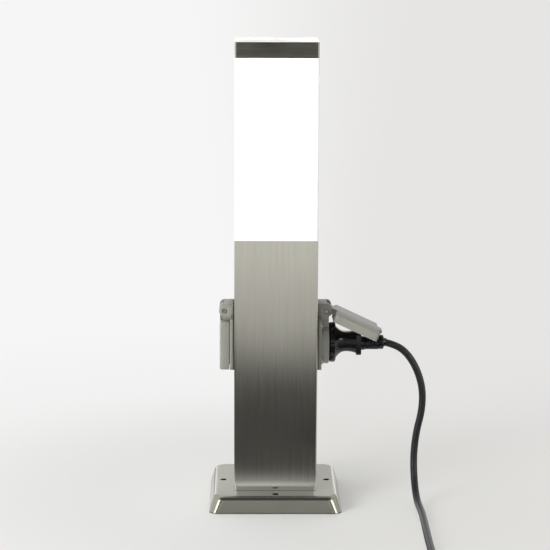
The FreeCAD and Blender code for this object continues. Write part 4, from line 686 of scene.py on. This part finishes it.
# Cap: folded 1.2 mm stainless sheet over a moulded carrier that plugs the
# diffuser's mouth. Its sides are brushed level, in lines drawn 0.5 mm apart, and
# its top is only softly clouded.
cap_steel = brushed_sheet("level_brushed_stainless_cap", "#c6c3b8", "#b0ada2",
                          grain=(60, 60, 0.5), roughness=0.14, turned=0.25)
carrier_plastic = moulded_plastic("moulded_black_carrier_abs", "#2a2a2b", "#222223",
                                  grain=0.7, roughness=0.5)
finish_nodes(cap_steel, "top_cap")
finish_nodes(carrier_plastic, "cap_carrier")


# Lamp holder: a glazed porcelain cup that stands on the lamp plate. The glaze is
# smooth and a little uneven.
GLAZE_POOL = 9
porcelain, tree = empty_material("glazed_white_porcelain")
place = add_node(tree, "ShaderNodeTexCoord").outputs["Object"]
pool = add_node(tree, "ShaderNodeTexNoise", {
    "Vector": place, "Scale": 1 / (GLAZE_POOL * MM), "Detail": 2.0})
hue = add_node(tree, "ShaderNodeMix", {
    "Factor": pool.outputs["Fac"], 6: colour("#e9e6de"), 7: colour("#f4f2ec")}, data_type="RGBA")
dents = add_node(tree, "ShaderNodeBump", {
    "Height": pool.outputs["Fac"], "Strength": 0.15, "Distance": 0.2 * MM})
glaze = add_node(tree, "ShaderNodeBsdfPrincipled", {
    "Base Color": hue.outputs[2], "Roughness": 0.18, "IOR": 1.5, "Coat Weight": 0.6,
    "Coat Roughness": 0.08, "Normal": dents.outputs[0]})
add_node(tree, "ShaderNodeOutputMaterial", {"Surface": glaze.outputs[0]})
finish_nodes(porcelain, "lamp_holder")


# Lamp: a screw base of nickelled brass under a bulb of glass, frosted inside. The
# plug's pins and earth strips are nickelled the same way.
FROST = 1.2
nickel = plated_steel("nickelled_brass", "#cfc8b8", "#b6ae9c", patch=3.0, roughness=0.26)
frosted_glass, tree = empty_material("inside_frosted_glass")
place = add_node(tree, "ShaderNodeTexCoord").outputs["Object"]
frost = add_node(tree, "ShaderNodeTexNoise", {
    "Vector": place, "Scale": 1 / (FROST * MM), "Detail": 4.0})
gloss = add_node(tree, "ShaderNodeMapRange", {
    "Value": frost.outputs["Fac"], "To Min": 0.35, "To Max": 0.55})
hue = add_node(tree, "ShaderNodeMix", {
    "Factor": frost.outputs["Fac"], 6: colour("#f3f1ea"), 7: colour("#fbfaf6")}, data_type="RGBA")
glass = add_node(tree, "ShaderNodeBsdfPrincipled", {
    "Base Color": hue.outputs[2], "Roughness": gloss.outputs[0], "IOR": 1.45,
    "Transmission Weight": 0.6})
add_node(tree, "ShaderNodeOutputMaterial", {"Surface": glass.outputs[0]})
finish_nodes(nickel, "lamp_base", "plug_pins", "plug_earth_strips")
finish_nodes(frosted_glass, "lamp_bulb")


# Inner leads: round cable in an extruded PVC jacket, white to the lamp and black
# to the outlets. They come out of the terminal block's top.
white_pvc = moulded_plastic("extruded_white_pvc", "#e8e8e4", "#dadad4", grain=1.5, roughness=0.42)
black_pvc = moulded_plastic("extruded_black_pvc", "#242526", "#1c1d1e", grain=1.5, roughness=0.42)
finish_nodes(white_pvc, "lamp_lead_inner")
finish_nodes(black_pvc, "outlet_lead_left", "outlet_lead_right")


# Outlet frames: injection moulded grey polycarbonate with a fine eroded grain,
# drawn 0.45 mm wide so that it shows. Plate, collar, hinge housing and ears are
# one piece, with edges that are a little round.
frame_grey = moulded_plastic("grained_grey_polycarbonate", "#a09f96", "#939289", grain=0.45,
                             roughness=0.46, dent=0.04)
for side in ("left", "right"):
    outlet_frame = softened_copy("outlet_housing_" + side, "outlet_frame_" + side, width=0.35)
    take_over(outlet_frame, frame_grey, "bollard", "outlet_frame", "outlet_frame_" + side)


# Outlet inserts: dark moulded contact carriers at the bottom of each well, with
# two brass sleeves for the plug's pins and two sprung brass earth strips.
insert_plastic = moulded_plastic("moulded_dark_grey_polyamide", "#4a4a48", "#3d3d3b",
                                 grain=0.6, roughness=0.5)
contact_brass = plated_steel("drawn_brass", "#c7a259", "#a98543", patch=2.5, roughness=0.28)
finish_nodes(insert_plastic, "outlet_insert_left", "outlet_insert_right")
finish_nodes(contact_brass, "contact_sleeves_left", "contact_sleeves_right",
             "earth_clips_left", "earth_clips_right")


# Outlet screws: in each outlet's plate four pan head screws with a cross recess,
# turned from stainless steel. One node tree makes the four of a side.
SCREW_INPUTS = {
    "Head Radius": 2.6 * MM,
    "Head Rise": 1.6 * MM,
    "Shank Radius": 1.6 * MM,
    "Shank Length": 10.0 * MM,
    "Recess Reach": 3.2 * MM,
    "Recess Width": 0.7 * MM,
    "Recess Depth": 1.0 * MM,
}
HEAD_SIDES = 28
HEAD_RINGS = 5
HEAD_DRAWN_IN = 0.42
HEAD_CROWN = 3.0
SHANK_SIDES = 20
SCREW_SEAT = 44.4
SCREW_WIDE = 38.0
SCREW_HIGH = 35.0
PLATE_MIDDLE = 157.2

screw_tree = bpy.data.node_groups.new("pan_head_screws", "GeometryNodeTree")
screw_tree.interface.new_socket(name="Seats", in_out="INPUT", socket_type="NodeSocketGeometry")
for name in SCREW_INPUTS:
    screw_tree.interface.new_socket(name=name, in_out="INPUT", socket_type="NodeSocketFloat")
screw_tree.interface.new_socket(name="Turn", in_out="INPUT", socket_type="NodeSocketVector")
screw_tree.interface.new_socket(name="Finish", in_out="INPUT", socket_type="NodeSocketMaterial")
screw_tree.interface.new_socket(name="Screws", in_out="OUTPUT", socket_type="NodeSocketGeometry")
given = add_node(screw_tree, "NodeGroupInput").outputs

# the head is a short cylinder whose rings draw in towards the top
drum = add_node(screw_tree, "GeometryNodeMeshCylinder", {
    "Vertices": HEAD_SIDES, "Side Segments": HEAD_RINGS, "Radius": given["Head Radius"],
    "Depth": given["Head Rise"]})
half_rise = add_node(screw_tree, "ShaderNodeMath", {0: given["Head Rise"], 1: 0.5},
                     operation="MULTIPLY")
raised = add_node(screw_tree, "ShaderNodeCombineXYZ", {"Z": half_rise.outputs[0]})
stood = add_node(screw_tree, "GeometryNodeTransform", {
    "Geometry": drum.outputs["Mesh"], "Translation": raised.outputs[0]})
spot = add_node(screw_tree, "GeometryNodeInputPosition").outputs[0]
spot_up = add_node(screw_tree, "ShaderNodeSeparateXYZ", {0: spot}).outputs["Z"]
share = add_node(screw_tree, "ShaderNodeMath", {0: spot_up, 1: given["Head Rise"]},
                 operation="DIVIDE")
crown = add_node(screw_tree, "ShaderNodeMath", {0: share.outputs[0], 1: HEAD_CROWN},
                 operation="POWER")
taken = add_node(screw_tree, "ShaderNodeMath", {0: crown.outputs[0], 1: HEAD_DRAWN_IN},
                 operation="MULTIPLY")
left_over = add_node(screw_tree, "ShaderNodeMath", {0: 1.0, 1: taken.outputs[0]},
                     operation="SUBTRACT").outputs[0]
around = add_node(screw_tree, "ShaderNodeCombineXYZ", {"X": left_over, "Y": left_over, "Z": 1.0})
narrowed = add_node(screw_tree, "ShaderNodeVectorMath", {0: spot, 1: around.outputs[0]},
                    operation="MULTIPLY")
head = add_node(screw_tree, "GeometryNodeSetPosition", {
    "Geometry": stood.outputs[0], "Position": narrowed.outputs[0]})

# two bars sunk in the head's top cut its cross recess
recessed = add_node(screw_tree, "GeometryNodeMeshBoolean", {"Mesh 1": head.outputs[0]},
                    operation="DIFFERENCE")
bar_height = add_node(screw_tree, "ShaderNodeMath", {0: given["Recess Depth"], 1: 2.0},
                      operation="MULTIPLY")
head_top = add_node(screw_tree, "ShaderNodeCombineXYZ", {"Z": given["Head Rise"]})
for long_side, short_side in (("Recess Reach", "Recess Width"), ("Recess Width", "Recess Reach")):
    bar_size = add_node(screw_tree, "ShaderNodeCombineXYZ", {
        "X": given[long_side], "Y": given[short_side], "Z": bar_height.outputs[0]})
    bar = add_node(screw_tree, "GeometryNodeMeshCube", {"Size": bar_size.outputs[0]})
    set_in = add_node(screw_tree, "GeometryNodeTransform", {
        "Geometry": bar.outputs["Mesh"], "Translation": head_top.outputs[0]})
    screw_tree.links.new(set_in.outputs[0], recessed.inputs["Mesh 2"])

# the shank hangs under the head, and one whole screw stands on each seat
rod = add_node(screw_tree, "GeometryNodeMeshCylinder", {
    "Vertices": SHANK_SIDES, "Radius": given["Shank Radius"], "Depth": given["Shank Length"]})
half_down = add_node(screw_tree, "ShaderNodeMath", {0: given["Shank Length"], 1: -0.5},
                     operation="MULTIPLY")
lowered = add_node(screw_tree, "ShaderNodeCombineXYZ", {"Z": half_down.outputs[0]})
sunk = add_node(screw_tree, "GeometryNodeTransform", {
    "Geometry": rod.outputs["Mesh"], "Translation": lowered.outputs[0]})
screw = add_node(screw_tree, "GeometryNodeJoinGeometry", {0: recessed.outputs["Mesh"]})
screw_tree.links.new(sunk.outputs[0], screw.inputs[0])
row = add_node(screw_tree, "GeometryNodeInstanceOnPoints", {
    "Points": given["Seats"], "Instance": screw.outputs[0], "Rotation": given["Turn"]})
real = add_node(screw_tree, "GeometryNodeRealizeInstances", {0: row.outputs[0]})
dressed = add_node(screw_tree, "GeometryNodeSetMaterial", {
    "Geometry": real.outputs[0], "Material": given["Finish"]})
add_node(screw_tree, "NodeGroupOutput", {0: dressed.outputs[0]})

for side, way in (("left", -1), ("right", 1)):
    seat_points = [(way * SCREW_SEAT * MM, across * SCREW_WIDE / 2 * MM,
                    (PLATE_MIDDLE + rise * SCREW_HIGH / 2) * MM)
                   for across in (-1, 1) for rise in (-1, 1)]
    seats = bpy.data.meshes.new("outlet_screw_set_" + side)
    seats.from_pydata(seat_points, [], [])
    screws = bpy.data.objects.new("outlet_screw_set_" + side, seats)
    scene.collection.objects.link(screws)
    maker = screws.modifiers.new("screws", "NODES")
    maker.node_group = screw_tree
    for socket in screw_tree.interface.items_tree:
        if socket.in_out == "INPUT" and socket.name in SCREW_INPUTS:
            maker[socket.identifier] = SCREW_INPUTS[socket.name]
        if socket.in_out == "INPUT" and socket.name == "Turn":
            maker[socket.identifier] = (0.0, way * math.pi / 2, 0.0)
        if socket.in_out == "INPUT" and socket.name == "Finish":
            maker[socket.identifier] = screw_steel
    plain_mesh(screws)
    take_over(screws, screw_steel, "bollard", "outlet_screws", "outlet_screws_" + side)


# Covers: shallow caps of the same grey polycarbonate, sprung shut on the
# collar, with web, knuckles and a grip lip. Each moves with its own hinge.
# the lid's tone is set a little darker than the frame's, painted shade on the same plastic
cover_grey = moulded_plastic("grained_grey_polycarbonate_lid", "#9c9b92", "#8f8e85", grain=0.45,
                             roughness=0.44, dent=0.04)
for side in ("left", "right"):
    cover = softened_copy("outlet_cover_" + side, "cover_" + side, width=0.3)
    take_over(cover, cover_grey, side + "_cover", "cover", "cover_" + side)


# Cover seals and springs: a black rubber ring that shuts on the collar's rim,
# and a torsion spring of 0.9 mm stainless wire round each pin.
ring_rubber = soft_rubber("moulded_seal_rubber", "#181818", "#252524", roughness=0.68)
spring_steel = plated_steel("drawn_spring_steel_wire", "#bdbbb6", "#9a9893", patch=1.5, roughness=0.24)
finish_nodes(ring_rubber, "cover_seal_left", "cover_seal_right")
finish_nodes(spring_steel, "cover_spring_left", "cover_spring_right")


# Plug: moulded on the lead from glossy black PVC, with a round nose in the
# well, a flange, a waisted grip, a ribbed strain relief and a boot.
plug_pvc = moulded_plastic("glossy_black_moulded_pvc", "#121215", "#0b0b0d", grain=0.8,
                           roughness=0.17, dent=0.05, gloss_spread=0.04)
plug = softened_copy("plug_moulding", "plug", width=0.4)
take_over(plug, plug_pvc, "bollard", "plug", "plug")


# Tie and connector: a polyamide strap round the coil, and the moulded socket at
# the lead's far end, of the same glossy PVC as the plug.
tie_polyamide = moulded_plastic("black_polyamide_strap", "#262627", "#1c1c1d", grain=0.9, roughness=0.4)
tie = softened_copy("coil_strap", "coil_tie", width=0.2)
take_over(tie, tie_polyamide, "bollard", "coil_tie", "coil_tie")
connector = softened_copy("connector_moulding", "connector", width=0.5)
take_over(connector, plug_pvc, "bollard", "connector", "connector")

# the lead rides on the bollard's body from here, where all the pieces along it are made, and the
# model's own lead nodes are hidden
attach(lead, "bollard")
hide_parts("lead_free", "lead_coil")
